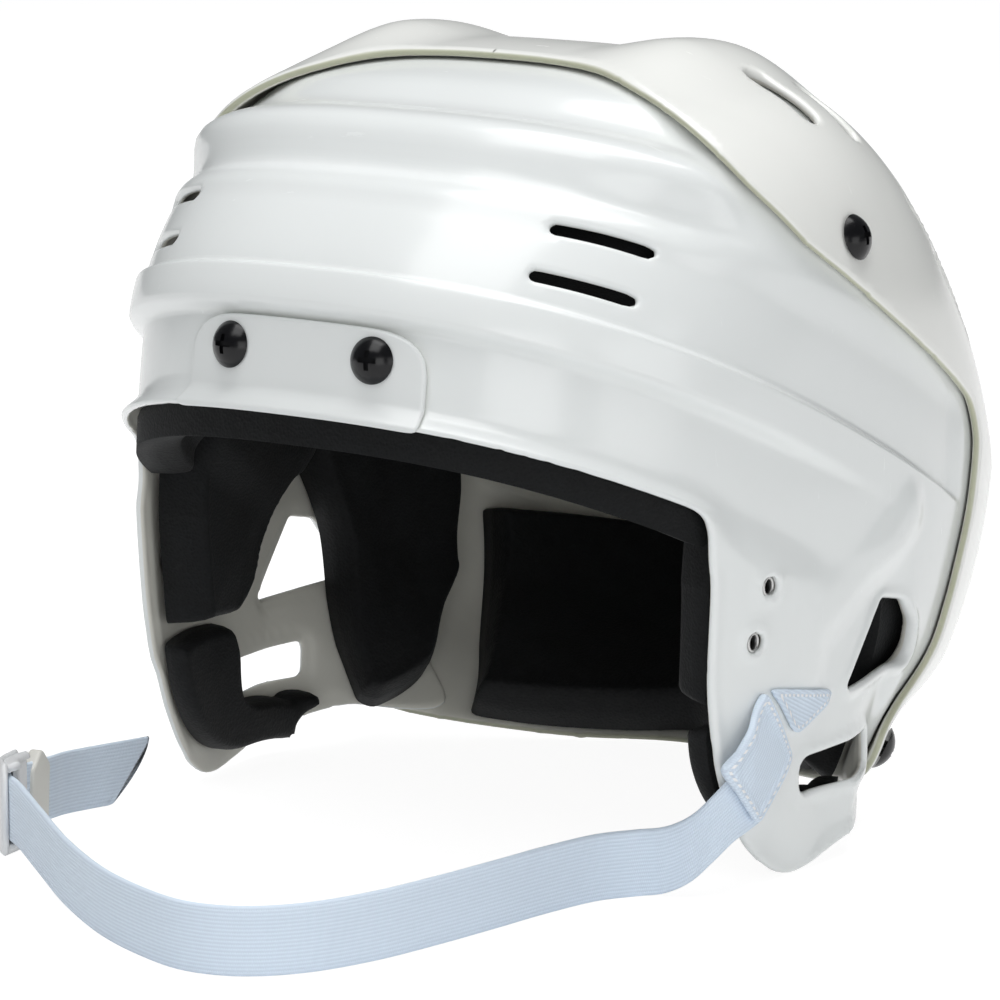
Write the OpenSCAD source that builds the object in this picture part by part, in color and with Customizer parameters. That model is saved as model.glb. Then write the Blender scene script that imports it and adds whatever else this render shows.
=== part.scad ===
// Two-piece ice hockey helmet with a foam lining and a webbing chin strap.
// Millimetres. The face opening looks to -Y, the wearer's left is +X, the floor is z = 0.
// The creases and slots of the shell lie in planes that fall towards the back.
// Such a plane is called a level: level = z + level_slope * y.

/* [Shell form] */
// Full width of the front shell at its widest level
shell_w = 217; // [207:1:227]
// Reach of the shell in front of its middle
front_len = 127; // [122:1:132]
// Reach of the shell behind its middle
rear_len = 148; // [142:1:154]
// Level of the crown, where the dome closes
crown_level = 234.5; // [230:0.5:240]
// Fall of the creases towards the back, height per length
level_slope = 0.46; // [0.44:0.01:0.48]
// Wall of both shells
shell_wall = 2.8; // [2.5:0.1:3.1]
// Running gap between the front shell and the rear shell over it
shell_gap = 0.6; // [0.6:0.05:0.9]

/* [Relief of the shell] */
// Level of the sharp crease above the brow band
crease_level = 125; // [121:1:129]
// Depth of the panel above the crease
panel_depth = 2.4; // [1.5:0.1:3]
// Depth of the brow below the brow band
brow_depth = 4.6; // [3:0.1:5.5]
// Depth of the wide valley above the front panel
valley_depth = 3.4; // [2:0.1:4]
// Height of the band between the two valleys
band_height = 4; // [2:0.1:5]
// Height of the ridge in front of the ear
ear_ridge = 2.2; // [1:0.1:3]
// Depth of the bowl around the ear openings
ear_bowl = 3; // [2:0.1:3.5]
// Height of the ribs along the top of the rear shell
top_rib = 5; // [3:0.5:6]

/* [Face opening] */
// Level of the brow edge
brow_level = 82; // [79:1:85]
// Place of the upright side edge along Y
cheek_y = -58; // [-61:1:-55]
// Place of the lowest point of the ear lobe along Y
lobe_y = -18; // [-22:1:-14]

/* [Slots and holes] */
// Length of the two front slots on each side
front_slot_l = 27; // [22:1:30]
// Height of the front slots
front_slot_h = 3.6; // [3:0.2:5]
// Height of the slots through the top of the rear shell
top_slot_w = 5; // [4:0.5:6]
// Bore of the threaded inserts for the visor screws
visor_bore_d = 4; // [3:0.1:4.5]
// Wall of those inserts
insert_wall = 0.7; // [0.5:0.1:0.9]
// Clearance of an insert in the shell, on the radius
insert_fit = 0.25; // [0.2:0.05:0.4]

/* [Fasteners] */
// Diameter of the domed screw heads
head_d = 13; // [11:0.5:14]
// Height of the domed screw heads
head_h = 3.4; // [2.5:0.1:4]
// Diameter of the screw shanks
shank_d = 5; // [4:0.2:6]
// Clearance of a shank in its hole, on the diameter
shank_fit = 0.6; // [0.4:0.1:1]
// Diameter of the nuts behind the shell
nut_d = 11; // [10:0.5:12]
// Thickness of the nuts
nut_h = 2.4; // [2:0.1:3]
// Travel of the rear shell for the head size
size_travel = 6; // [3:1:7]
// Rise of that travel, in degrees
size_rise = 12; // [10:1:15]

/* [Brow plate] */
// Half width of the brow plate at its lower edge
plate_half_w = 40; // [37:1:43]
// Thickness of the brow plate
plate_t = 2.2; // [1.6:0.1:2.8]
// Distance of the two brow screws from the middle
brow_screw_x = 24; // [21:0.5:25.5]

/* [Lining] */
// Thickness of the foam at the temples and sides
pad_t = 16; // [12:1:18]
// Thickness of the foam at the ears
ear_pad_t = 9; // [7:1:11]
// Thickness of the brow and crown foam
crown_pad_t = 12; // [9:1:14]
// Clearance between the foam and the shell
pad_gap = 0.4; // [0.35:0.05:0.6]

/* [Chin strap] */
// Width of the webbing
strap_w = 19; // [16:0.5:20]
// Thickness of the webbing
strap_t = 1.8; // [1.4:0.1:2.2]
// Height of the hook buckle
buckle_h = 27; // [26:0.5:29]
// Height of the adjuster
slider_h = 24; // [24:0.5:26]
// Clearance of the webbing in the buckle and the adjuster
strap_fit = 0.8; // [0.6:0.1:1]

/* [Hidden] */

white = "white";
foam_black = "#1c1c1e";
screw_black = "#111111";
webbing_white = "#eef0f6";
steel = "silver";

// Plan of the dome: half width, front reach and rear reach at each level
side_level = 109;
side_power = 3.5;
side_tuck = 4;
front_level = 114;
front_power = 1.55;
front_tuck = 5.5;
rear_level = 146;
rear_power = 1.35;
rear_tuck = 62;
centre_y = 7;
crown_y = 39;
front_square = 2.5;
nape_square = 1.72;
rear_square = 2.15;
lowest_level = -24;
columns = 48;
far = 400;

function clamp01(v) = min(1, max(0, v));
function ease(v) = let (c = clamp01(v)) c * c * (3 - 2 * c);
function bump(v) = let (c = clamp01(1 - abs(v))) c * c * (3 - 2 * c);
function signed_pow(v, p) = sign(v) * pow(abs(v), p);
function mix(a, b, f) = a + (b - a) * f;

function reach(level, size, widest, power, tuck) =
    level > widest
    ? size * pow(max(0, 1 - pow(clamp01((level - widest) / (crown_level - widest)), power)), 1 / power)
    : size - tuck * pow((widest - level) / 100, 2);
function half_w(level) = reach(level, shell_w / 2, side_level, side_power, side_tuck);
function front_r(level) = reach(level, front_len, front_level, front_power, front_tuck);
function rear_r(level) = reach(level, rear_len, rear_level, rear_power, rear_tuck);
function mid_y(level) = mix(centre_y, crown_y, pow(clamp01((level - 60) / (crown_level - 60)), 1.2));
function square_rear(level) = mix(nape_square, rear_square, ease((level - 45) / 40));

// Point of the plain dome at turn t (0 front, 90 wearer's left, 180 back) and level
function dome(t, level) =
    let (is_front = cos(t) > 0,
         power = 2 / (is_front ? front_square : square_rear(level)),
         x = half_w(level) * signed_pow(sin(t), power),
         y = mid_y(level) - (is_front ? front_r(level) : rear_r(level)) * signed_pow(cos(t), power))
    [x, y, level - level_slope * y];

function outward(t, level) =
    let (top = min(level + 0.4, crown_level - 0.4),
         across = dome(t + 0.6, level) - dome(t - 0.6, level),
         up = dome(t, top) - dome(t, top - 0.8),
         n = cross(across, up))
    n / norm(n);

// Turn of the dome point that lies at a given y on the left side
function turn_at(y, level) =
    let (mid = mid_y(level))
    y < mid
    ? acos(min(1, pow((mid - y) / front_r(level), front_square / 2)))
    : 90 + asin(min(1, pow((y - mid) / rear_r(level), square_rear(level) / 2)));
// Turn of the dome point that lies at a given x on the front
function turn_at_x(x, level) = sign(x) * asin(pow(min(1, abs(x) / half_w(level)), front_square / 2));

// Relief of the front shell, measured outwards from the dome
ridge_top = [34, 95];
ridge_knee = [-12, 69];
ridge_foot = [-17, 57];
function along(p, a, b) = clamp01(((p - a) * (b - a)) / ((b - a) * (b - a)));
function off_line(p, a, b) = norm(p - a - (b - a) * along(p, a, b));
function front_relief(t, level) =
    let (p = dome(t, level),
         turn = abs(t > 180 ? t - 360 : t),
         yz = [p[1], p[2]],
         brow = brow_depth * ease((114 - level) / 5) * ease((level - 72) / 16) * ease((96 - turn) / 26),
         flare = 4 * ease((brow_level + 7 - level) / 7) * ease((70 - turn) / 12),
         panel = panel_depth * ease((level - crease_level + 0.2) / 1.6) * ease((163 - level) / 14),
         valley = valley_depth * bump((level - 164) / 9) * ease((64 - turn) / 18),
         notch = 2 * bump((level - 191) / 7) * ease((56 - turn) / 16),
         band = band_height * bump((level - 177) / 13) * ease((-29 - p[1]) / 12),
         ridge = ear_ridge * bump(min(off_line(yz, ridge_top, ridge_knee),
                                      off_line(yz, ridge_knee, ridge_foot)) / 13),
         bowl = ear_bowl * ease((47 - norm(yz - [12, 43])) / 17))
    band + ridge + min(flare, brow) - brow - panel - valley - notch - bowl;

// Relief of the rear shell: two ribs along its top that fade in behind its front edge
rib_x = 47;
function rear_relief(t, level) =
    let (p = dome(t, level),
         grow = ease((p[1] + 28) / 36) * ease((level - 128) / 40))
    top_rib * grow * bump((abs(p[0]) - rib_x) / 27);

// Height of the rear shell's inner face over the dome. It is larger where the dome faces forwards,
// so that the shell can slide back by the size travel.
size_axis = [0, cos(size_rise), sin(size_rise)];
function rear_lift(t, level) = shell_gap + size_travel * max(0, -outward(t, level) * size_axis);

function skin(t, level, out) = dome(t, level) + out * outward(t, level);

// Levels of the rows of the front shell's outside, close together at the creases
outer_levels = concat(
    [for (level = [lowest_level : 16 : 56]) level],
    [66, 73, brow_level - 3, brow_level + 1, brow_level + 4, brow_level + 7, 98, 105, 109.5, 114],
    [crease_level - 5, crease_level - 1.2, crease_level + 0.3, crease_level + 1.8],
    [136, 147, 154, 159, 164, 169, 174, 180, 185, 188, 191, 194.5, 199, 207, 216, 224, 230],
    [crown_level - 1.2]);
// Levels of the rows of the plainer faces
inner_levels = [lowest_level, -8, 8, 24, 40, 56, 73, 80, 88, 98, 107, 114, crease_level - 1, crease_level + 2, 139,
                148, 156, 164, 172, 182, 191, 199, 210, 220, 228, crown_level - 1.2];

// Closed dome from rows of points, with a pole at the crown and a centre point at the bottom
module dome_solid(rows, pole, foot) {
    count = len(rows[0]);
    last = len(rows) - 1;
    points = concat([for (row = rows) each row], [pole, foot]);
    sides = [for (r = [0 : last - 1]) for (c = [0 : count - 1])
             let (a = r * count + c, b = r * count + (c + 1) % count)
             each [[a, a + count, b + count], [a, b + count, b]]];
    cap = [for (c = [0 : count - 1]) [last * count + c, len(points) - 2, last * count + (c + 1) % count]];
    base = [for (c = [0 : count - 1]) [c, (c + 1) % count, len(points) - 1]];
    polyhedron(points, concat(sides, cap, base), convexity = 6);
}
function turns(count) = [for (c = [0 : count - 1]) 360 * c / count];
function pole_at(out) = [0, crown_y, crown_level - level_slope * crown_y + out];
function foot_at() = [0, centre_y, lowest_level - level_slope * centre_y];
module front_dome(levels, out, count) {
    rows = [for (level = levels) [for (t = turns(count)) skin(t, level, front_relief(t, level) + out)]];
    dome_solid(rows, pole_at(out), foot_at());
}
module rear_dome(wall, rib, count) {
    rows = [for (level = inner_levels) [for (t = turns(count))
            skin(t, level, rear_lift(t, level) + wall + rib * rear_relief(t, level))]];
    dome_solid(rows, pole_at(shell_gap + wall), foot_at());
}

// Carries a side outline, drawn as [y, z], right across the helmet
module across_x(outline, rounding) {
    rotate([90, 0, 90])
        linear_extrude(height = far, center = true)
            offset(r = rounding)
                offset(delta = -rounding)
                    polygon(outline);
}

brow_far_y = -170;
function brow_z(y) = brow_level - level_slope * y;
front_outline = [
    [brow_far_y, brow_z(brow_far_y)], [cheek_y, brow_z(cheek_y)],
    [cheek_y + 0.5, 62], [cheek_y + 3, 46], [cheek_y + 9, 28], [cheek_y + 19, 11], [lobe_y - 10, 2.2],
    [lobe_y - 3, 0], [lobe_y + 11, 0], [6, 0.8], [20, 4], [34, 6], [52, 7],
    [60, 12], [62, 24], [68, 36], [76, 50], [86, 66], [93, 84], [96, 104], [94, 130],
    [78, 153], [52, 176], [32, 194], [22, 214], [22, far], [brow_far_y, far]];
rear_outline = [
    [-15, far], [-15, 223], [-21, 220.5], [-28, 217], [-31, 212], [-33, 206], [-31, 194],
    [-17, 177], [14, 157], [41, 141], [78, 120], [85, 108], [82, 88], [70, 64],
    [60, 48], [46, 35], [38, 27], [37, 17], [46, 10], [62, 5], [78, 0], [260, 0], [260, far]];

// Level and turn of a point of the left side by its place along Y and its height
function side_level_at(y, z) = z + level_slope * y;

// Stands the children on the skin with +Z outwards
module on_skin(t, level, out) {
    p = skin(t, level, out);
    n = outward(t, level);
    translate(p)
        rotate([0, acos(n[2]), atan2(n[1], n[0])])
            children();
}
module both_sides() {
    children();
    mirror([1, 0, 0]) children();
}

// Long slot across the skin between two places given as [turn, level]
module skin_slot(a, b, height) {
    hull() {
        for (end = [a, b])
            on_skin(end[0], end[1], 0)
                cylinder(d = height, h = 30, center = true, $fn = 16);
    }
}
// Opening through the left wall with rounded corners, each corner [y, z, radius]
module side_opening(corners) {
    hull()
        for (c = corners)
            translate([shell_w / 2 - 30, c[0], c[1]])
                rotate([0, 90, 0])
                    cylinder(r = c[2], h = 60, $fn = 16);
}

front_slot_turn = 30;
upper_slot_level = 152;
lower_slot_level = 135.5;
function slot_end(level) =
    turn_at_x(dome(front_slot_turn, level)[0] + front_slot_l * 0.76, level);
ear_upper = [[23, 71, 1.2], [33, 67, 4], [37, 60, 4], [36, 54, 4], [31, 51, 3], [6, 48.5, 0.8]];
ear_lower = [[-9, 27, 4], [-9, 23.5, 2.5], [17, 31.5, 1.5], [21, 23, 2]];

// Places of the fasteners
brow_screw_level = 100;
side_screw_y = 4;
side_screw_z = 177;
rear_bolt_y = 48;
rear_bolt_z = 22.5;
brow_screw_turn = turn_at_x(brow_screw_x, brow_screw_level);
side_screw_level = side_level_at(side_screw_y, side_screw_z);
side_screw_turn = turn_at(side_screw_y, side_screw_level);
rear_bolt_level = side_level_at(rear_bolt_y, rear_bolt_z);
rear_bolt_turn = turn_at(rear_bolt_y, rear_bolt_level);
visor_upper = [-37, 86];
visor_lower = [-42, 71];
insert_d = visor_bore_d + 2 * insert_wall;
nut_gap = 0.3;

// Slot in the front shell in which a screw of the rear shell travels
module travel_slot(y, z) {
    level = side_level_at(y, z);
    t = turn_at(y, level);
    hull()
        for (step = [0, size_travel + 1])
            translate(step * size_axis)
                on_skin(t, level, 0)
                    cylinder(d = shank_d + 2 * shank_fit, h = 34, center = true, $fn = 20);
}

module front_blank() {
    difference() {
        intersection() {
            front_dome(outer_levels, 0, columns);
            across_x(front_outline, 2);
        }
        front_dome(inner_levels, -shell_wall, columns * 3 / 4);
        both_sides() {
            skin_slot([front_slot_turn, upper_slot_level],
                      [slot_end(upper_slot_level), upper_slot_level], front_slot_h);
            skin_slot([front_slot_turn, lower_slot_level],
                      [slot_end(lower_slot_level), lower_slot_level], front_slot_h);
            side_opening(ear_upper);
            side_opening(ear_lower);
            travel_slot(side_screw_y, side_screw_z);
            travel_slot(rear_bolt_y, rear_bolt_z);
        }
    }
}

module front_shell() {
    color(white)
        difference() {
            front_blank();
            for (side = [-1, 1])
                on_skin(side * brow_screw_turn, brow_screw_level, 0)
                    cylinder(d = shank_d + shank_fit, h = 40, center = true, $fn = 48);
            for (side = [0, 1], place = [visor_upper, visor_lower])
                mirror([side, 0, 0])
                    translate([shell_w / 2 - 6, place[0], place[1]])
                        rotate([0, 90, 0])
                            cylinder(d = insert_d + 2 * insert_fit, h = 40, center = true, $fn = 32);
        }
}

// Place along X of the left wall's face at a height over the dome
function wall_x(place, out) =
    let (level = side_level_at(place[0], place[1]),
         t = turn_at(place[0], level))
    dome(t, level)[0] + (front_relief(t, level) + out) / outward(t, level)[0];
// Sleeves in the visor holes, a little below the outside
module visor_inserts() {
    color(steel)
        for (side = [0, 1], place = [visor_upper, visor_lower]) {
            inner = wall_x(place, -shell_wall) + 0.1;
            mirror([side, 0, 0])
                translate([inner, place[0], place[1]])
                    rotate([0, 90, 0])
                        difference() {
                            cylinder(d = insert_d, h = wall_x(place, -0.7) - inner, $fn = 48);
                            translate([0, 0, -1])
                                cylinder(d = visor_bore_d, h = shell_wall * 3, $fn = 48);
                        }
        }
}

// Slots through the rear shell on each side: two across the top, three long ones down the flank
// and two across the back. Each end is [y, level].
function place_at(y, level) = [turn_at(y, level), level];
top_slots = [[[12, 221.3], [12, 213.5]], [[31, 224.5], [31, 216]]];
flank_slot_w = 3;
flank_slots = [[[52, 208], [84, 189]], [[50, 203], [86, 182]], [[60, 191], [84, 176.5]]];
module rear_blank() {
    difference() {
        intersection() {
            rear_dome(shell_wall, 1, columns);
            across_x(rear_outline, 2);
        }
        rear_dome(0, 0, columns);
        both_sides() {
            for (ends = top_slots)
                skin_slot(place_at(ends[0][0], ends[0][1]), place_at(ends[1][0], ends[1][1]), top_slot_w);
            for (ends = flank_slots)
                skin_slot(place_at(ends[0][0], ends[0][1]), place_at(ends[1][0], ends[1][1]), flank_slot_w);
        }
    }
}

module rear_shell() {
    color(white)
        difference() {
            rear_blank();
            for (side = [0, 1]) {
                mirror([side, 0, 0])
                    on_skin(side_screw_turn, side_screw_level, 0)
                        cylinder(d = shank_d + shank_fit, h = 30, center = true, $fn = 48);
                mirror([side, 0, 0])
                    on_skin(rear_bolt_turn, rear_bolt_level, 0)
                        cylinder(d = shank_d + shank_fit, h = 30, center = true, $fn = 48);
            }
        }
}

// Domed screw with a cross recess, its seat at z = 0 and its shank going down
module screw(reach_down) {
    cap_r = (head_d * head_d / 4 + head_h * head_h) / (2 * head_h);
    difference() {
        intersection() {
            translate([0, 0, head_h - cap_r])
                sphere(r = cap_r, $fn = 64);
            cylinder(d = head_d, h = head_h * 2, $fn = 64);
        }
        for (angle = [0, 90])
            rotate([0, 0, angle])
                translate([-head_d * 0.21, -0.7, head_h - 1.6])
                    cube([head_d * 0.42, 1.4, 3]);
    }
    translate([0, 0, -reach_down])
        cylinder(d = shank_d, h = reach_down + 0.5, $fn = 48);
}
// Round nut, its inner face away from the shell at z = 0, threaded over the shank end
module nut() {
    difference() {
        cylinder(d = nut_d, h = nut_h, $fn = 48);
        translate([0, 0, -1])
            cylinder(d = shank_d, h = nut_h + 2, $fn = 48);
    }
}

brow_out = front_relief(brow_screw_turn, brow_screw_level);
brow_seat = brow_out + nut_gap + plate_t + 0.3;
brow_nut_face = brow_out - shell_wall - 1.2 - nut_h;
module brow_screws() {
    color(screw_black)
        for (side = [-1, 1])
            on_skin(side * brow_screw_turn, brow_screw_level, brow_seat)
                screw(brow_seat - brow_nut_face);
}
module brow_nuts() {
    color(steel)
        for (side = [-1, 1])
            on_skin(side * brow_screw_turn, brow_screw_level, brow_nut_face)
                nut();
}

side_seat = rear_lift(side_screw_turn, side_screw_level)
            + rear_relief(side_screw_turn, side_screw_level) + shell_wall + 0.6;
side_nut_face = -shell_wall - 1.4 - nut_h;
module side_screws() {
    color(screw_black)
        both_sides()
            on_skin(side_screw_turn, side_screw_level, side_seat)
                screw(side_seat - side_nut_face);
}
module side_nuts() {
    color(steel)
        both_sides()
            on_skin(side_screw_turn, side_screw_level, side_nut_face)
                nut();
}

rear_seat = rear_lift(rear_bolt_turn, rear_bolt_level) + shell_wall + 1.1;
rear_nut_face = -shell_wall - size_travel * 0.36 - 1.9 - nut_h;
module rear_bolts() {
    color(screw_black)
        both_sides()
            on_skin(rear_bolt_turn, rear_bolt_level, rear_seat)
                screw(rear_seat - rear_nut_face);
}
module rear_nuts() {
    color(steel)
        both_sides()
            on_skin(rear_bolt_turn, rear_bolt_level, rear_nut_face)
                nut();
}

// Closed patch between an outer and an inner grid of points
module patch(outer, inner) {
    rows = len(outer);
    cols = len(outer[0]);
    points = concat([for (row = outer) each row], [for (row = inner) each row]);
    shift = rows * cols;
    function id(r, c) = r * cols + c;
    skin_faces = [for (r = [0 : rows - 2]) for (c = [0 : cols - 2])
                  let (a = id(r, c), b = id(r, c + 1), d = id(r + 1, c), e = id(r + 1, c + 1))
                  each [[a, d, e], [a, e, b], [shift + a, shift + e, shift + d], [shift + a, shift + b, shift + e]]];
    rim = concat([for (c = [0 : cols - 2]) id(0, c)],
                 [for (r = [0 : rows - 2]) id(r, cols - 1)],
                 [for (c = [cols - 1 : -1 : 1]) id(rows - 1, c)],
                 [for (r = [rows - 1 : -1 : 1]) id(r, 0)]);
    rim_faces = [for (k = [0 : len(rim) - 1])
                 let (a = rim[k], b = rim[(k + 1) % len(rim)])
                 each [[a, b, shift + b], [a, shift + b, shift + a]]];
    polyhedron(points, concat(skin_faces, rim_faces), convexity = 6);
}

// Smooth curve through points, by Catmull-Rom
function spline_point(pts, s) =
    let (n = len(pts) - 1,
         k = min(n - 1, floor(s * n)),
         f = s * n - k,
         a = pts[max(0, k - 1)],
         b = pts[k],
         c = pts[k + 1],
         d = pts[min(n, k + 2)])
    0.5 * ((2 * b) + (c - a) * f + (2 * a - 5 * b + 4 * c - d) * f * f + (3 * b - a - 3 * c + d) * f * f * f);

// Cushion on the inside of the shell between two edge curves of [turn, level] points.
// The crown swells in the middle, and the sides draw in towards the shell.
function cushion_depth(u, v, thick) =
    thick * mix(0.42, 1, sqrt(max(0, (1 - pow(abs(2 * u - 1), 5)) * (1 - pow(abs(2 * v - 1), 4)))));
// Its outer face lies under the shell by the lining, and follows the shell's relief when asked to.
module cushion(edge_a, edge_b, lining, thick, long_steps, cross_steps, follow = 0) {
    places = [for (i = [0 : long_steps]) [for (j = [0 : cross_steps])
              mix(spline_point(edge_b, i / long_steps), spline_point(edge_a, i / long_steps), j / cross_steps)]];
    function face(p) = follow * front_relief(p[0], p[1]) - lining;
    outer = [for (row = places) [for (p = row) skin(p[0], p[1], face(p))]];
    inner = [for (i = [0 : long_steps]) [for (j = [0 : cross_steps])
             let (p = places[i][j])
             skin(p[0], p[1], face(p) - cushion_depth(i / long_steps, j / cross_steps, thick))]];
    patch(outer, inner);
}

front_lining = shell_wall + pad_gap + 0.6;
rear_lining = pad_gap + 0.7 - shell_gap;

module brow_plate() {
    half_widths = [[brow_level - 0.4, plate_half_w], [brow_level + 1, plate_half_w], [brow_level + 4, plate_half_w],
                   [brow_level + 7, plate_half_w], [98, plate_half_w], [103, plate_half_w - 1],
                   [106.5, plate_half_w - 4], [108.5, plate_half_w - 9], [109.2, plate_half_w - 14]];
    steps = 16;
    function row(half, level, out) =
        [for (j = [0 : steps])
         let (t = turn_at_x(mix(-half, half, j / steps), level))
         skin(t, level, front_relief(t, level) + nut_gap + out)];
    outer = [for (h = half_widths) row(h[1], h[0], plate_t)];
    inner = [for (h = half_widths) row(h[1], h[0], 0)];
    color(white)
        difference() {
            patch(outer, inner);
            for (side = [-1, 1])
                on_skin(side * brow_screw_turn, brow_screw_level, 0)
                    cylinder(d = shank_d + shank_fit, h = 40, center = true, $fn = 48);
        }
}

// The foam reaches below the shell's edge, and has two pockets for the nuts of the brow screws
module brow_pad() {
    top = 110;
    bottom = brow_level - 9.5;
    turn = 64.4;
    pocket = brow_nut_face - 0.8;
    color(foam_black)
        difference() {
            cushion([[-turn, bottom], [-44, bottom], [-20, bottom], [20, bottom], [44, bottom], [turn, bottom]],
                    [[-turn, top], [-44, top], [-20, top], [20, top], [44, top], [turn, top]],
                    front_lining + 0.9, crown_pad_t + 2.1, 30, 6, 1);
            for (side = [-1, 1])
                on_skin(side * brow_screw_turn, brow_screw_level, pocket)
                    cylinder(d = nut_d + 1.5, h = 30, $fn = 32);
        }
}
// The foam has two pockets behind the visor inserts
module left_temple_pad() {
    color(foam_black)
        difference() {
            cushion([[77, 37], [82, 50], [85, 66], [88, 84], [92, 100], [93, 110]],
                    [[65.4, 28], [65.6, 44], [65.6, 60], [65.6, 78], [65.6, 96], [65.6, 110]],
                    front_lining + 1.6, pad_t, 14, 6, 1);
            for (place = [visor_upper, visor_lower])
                translate([wall_x(place, -front_lining) - 8, place[0], place[1]])
                    rotate([0, 90, 0])
                        cylinder(d = insert_d + 1.6, h = 30, $fn = 32);
        }
}
module left_ear_pad() {
    color(foam_black)
        cushion([[66, 23], [67, 12], [70, 3], [75, -3], [81, -3], [87, 2], [101, 10], [114, 16]],
                [[81, 38], [82, 31], [82, 22], [82, 13], [83, 11], [87, 15], [94, 20], [106, 26]],
                front_lining + 0.7, ear_pad_t, 18, 5, 1);
}
// The foam has a pocket in which the nut of the rear bolt travels
module left_side_pad() {
    color(foam_black)
        difference() {
            cushion([[93.5, 112], [94, 98], [96, 86], [99, 73], [103, 60], [108, 47], [114, 34], [122, 23]],
                    [[118, 126], [120, 112], [122, 94], [126, 76], [128, 58], [130, 44], [129, 32], [126, 21]],
                    front_lining + 1.35, pad_t - 1.7, 18, 7, 0.7);
            hull()
                for (step = [-1, size_travel + 1])
                    translate(step * size_axis)
                        on_skin(rear_bolt_turn, rear_bolt_level, rear_nut_face - 1.5)
                            cylinder(d = nut_d + 1.5, h = 30, $fn = 24);
        }
}
module nape_pad() {
    color(foam_black)
        cushion([[141, 35], [152, 37], [166, 42], [180, 47], [194, 42], [208, 37], [219, 35]],
                [[128, 111], [142, 117], [160, 121], [180, 122], [200, 121], [218, 117], [232, 111]],
                rear_lining, pad_t, 24, 7);
}
module front_crown_pad() {
    color(foam_black)
        cushion([[-58, 144], [-30, 144], [0, 144], [30, 144], [58, 144]],
                [[-64, 200], [-30, 200], [0, 200], [30, 200], [64, 200]],
                front_lining + valley_depth, crown_pad_t, 18, 6);
}
module rear_crown_pad() {
    color(foam_black)
        cushion([[134, 158], [156, 156], [180, 156], [204, 156], [226, 158]],
                [[132, 212], [156, 212], [180, 212], [204, 212], [228, 212]],
                rear_lining, crown_pad_t, 14, 6);
}

// Chin strap: webbing on edge along the floor, round the hook buckle and back through the adjuster
edge_z = strap_w / 2 + 0.1;
buckle_mid_z = buckle_h / 2 + 0.3;
slider_at = [-99.4, -108.5, buckle_mid_z - 0.5];
slider_axis = [-0.182, 0.98, -0.084];
strap_start_x = shell_w / 2 - 5;
strap_route = [
    [strap_start_x, -40, 29], [strap_start_x - 0.2, -45, 27.8], [strap_start_x - 1.7, -50, 25.6],
    [strap_start_x - 5.5, -54, 20.5], [strap_start_x - 11.1, -57, 14.5], [strap_start_x - 18, -59.6, 10.8],
    [78, -63.5, edge_z], [71.5, -74, edge_z], [67, -92, edge_z], [64, -110, edge_z],
    [60, -132, edge_z], [54.5, -155, edge_z], [46, -174, edge_z], [34, -186, edge_z], [19, -190, edge_z],
    [2, -186, edge_z], [-20, -176, edge_z], [-45, -160, edge_z + 0.6], [-68, -143, edge_z + 2.2],
    [-85, -130.8, buckle_mid_z - 0.2], [-93, -125.4, buckle_mid_z], [-96.6, -121.6, buckle_mid_z],
    [-97.9, -117, buckle_mid_z], slider_at - 4 * slider_axis, slider_at, slider_at + 7 * slider_axis,
    slider_at + 14 * slider_axis, slider_at + 21 * slider_axis, [-103.4, -76, edge_z + 0.9],
    [-100.5, -62, edge_z + 0.4]];
strap_rings = 100;
function strap_at(s) = spline_point(strap_route, s);
function strap_run(s) = strap_at(min(1, s + 0.004)) - strap_at(max(0, s - 0.004));
function strap_side(s) =
    let (d = strap_run(s), n = [d[1], -d[0], 0])
    n / norm(n);
// Share of the strap's way at which it passes a point of the route
function way(index) = index / (len(strap_route) - 1);
module chin_strap() {
    cut = 8;
    sections = [for (i = [0 : strap_rings])
        let (s = i / strap_rings,
             p = strap_at(s),
             n = strap_side(s),
             back = [n[1], -n[0], 0] * (i == strap_rings ? cut : 0),
             up = [0, 0, strap_w / 2])
        [p + n * strap_t / 2 - up + back, p + n * strap_t / 2 + up,
         p - n * strap_t / 2 + up, p - n * strap_t / 2 - up + back]];
    count = len(sections);
    points = [for (section = sections) each section];
    walls = [for (r = [0 : count - 2]) for (c = [0 : 3])
             let (a = r * 4 + c, b = r * 4 + (c + 1) % 4)
             each [[a, b, b + 4], [a, b + 4, a + 4]]];
    ends = [[3, 2, 1], [3, 1, 0], [count * 4 - 4, count * 4 - 3, count * 4 - 2],
            [count * 4 - 4, count * 4 - 2, count * 4 - 1]];
    color(webbing_white)
        polyhedron(points, concat(walls, ends), convexity = 8);
}

// Sets the children on the strap, +X across its faces and +Y along it
module on_strap(s) {
    p = strap_at(s);
    n = strap_side(s);
    translate(p)
        rotate([0, 0, atan2(n[1], n[0])])
            children();
}
module rounded_block(size, r) {
    translate([-size[0] / 2, 0, 0])
        rotate([90, 0, 90])
            linear_extrude(height = size[0])
                hull()
                    for (y = [-1, 1], z = [-1, 1])
                        translate([y * (size[1] / 2 - r), z * (size[2] / 2 - r)])
                            circle(r = r, $fn = 32);
}

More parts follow.
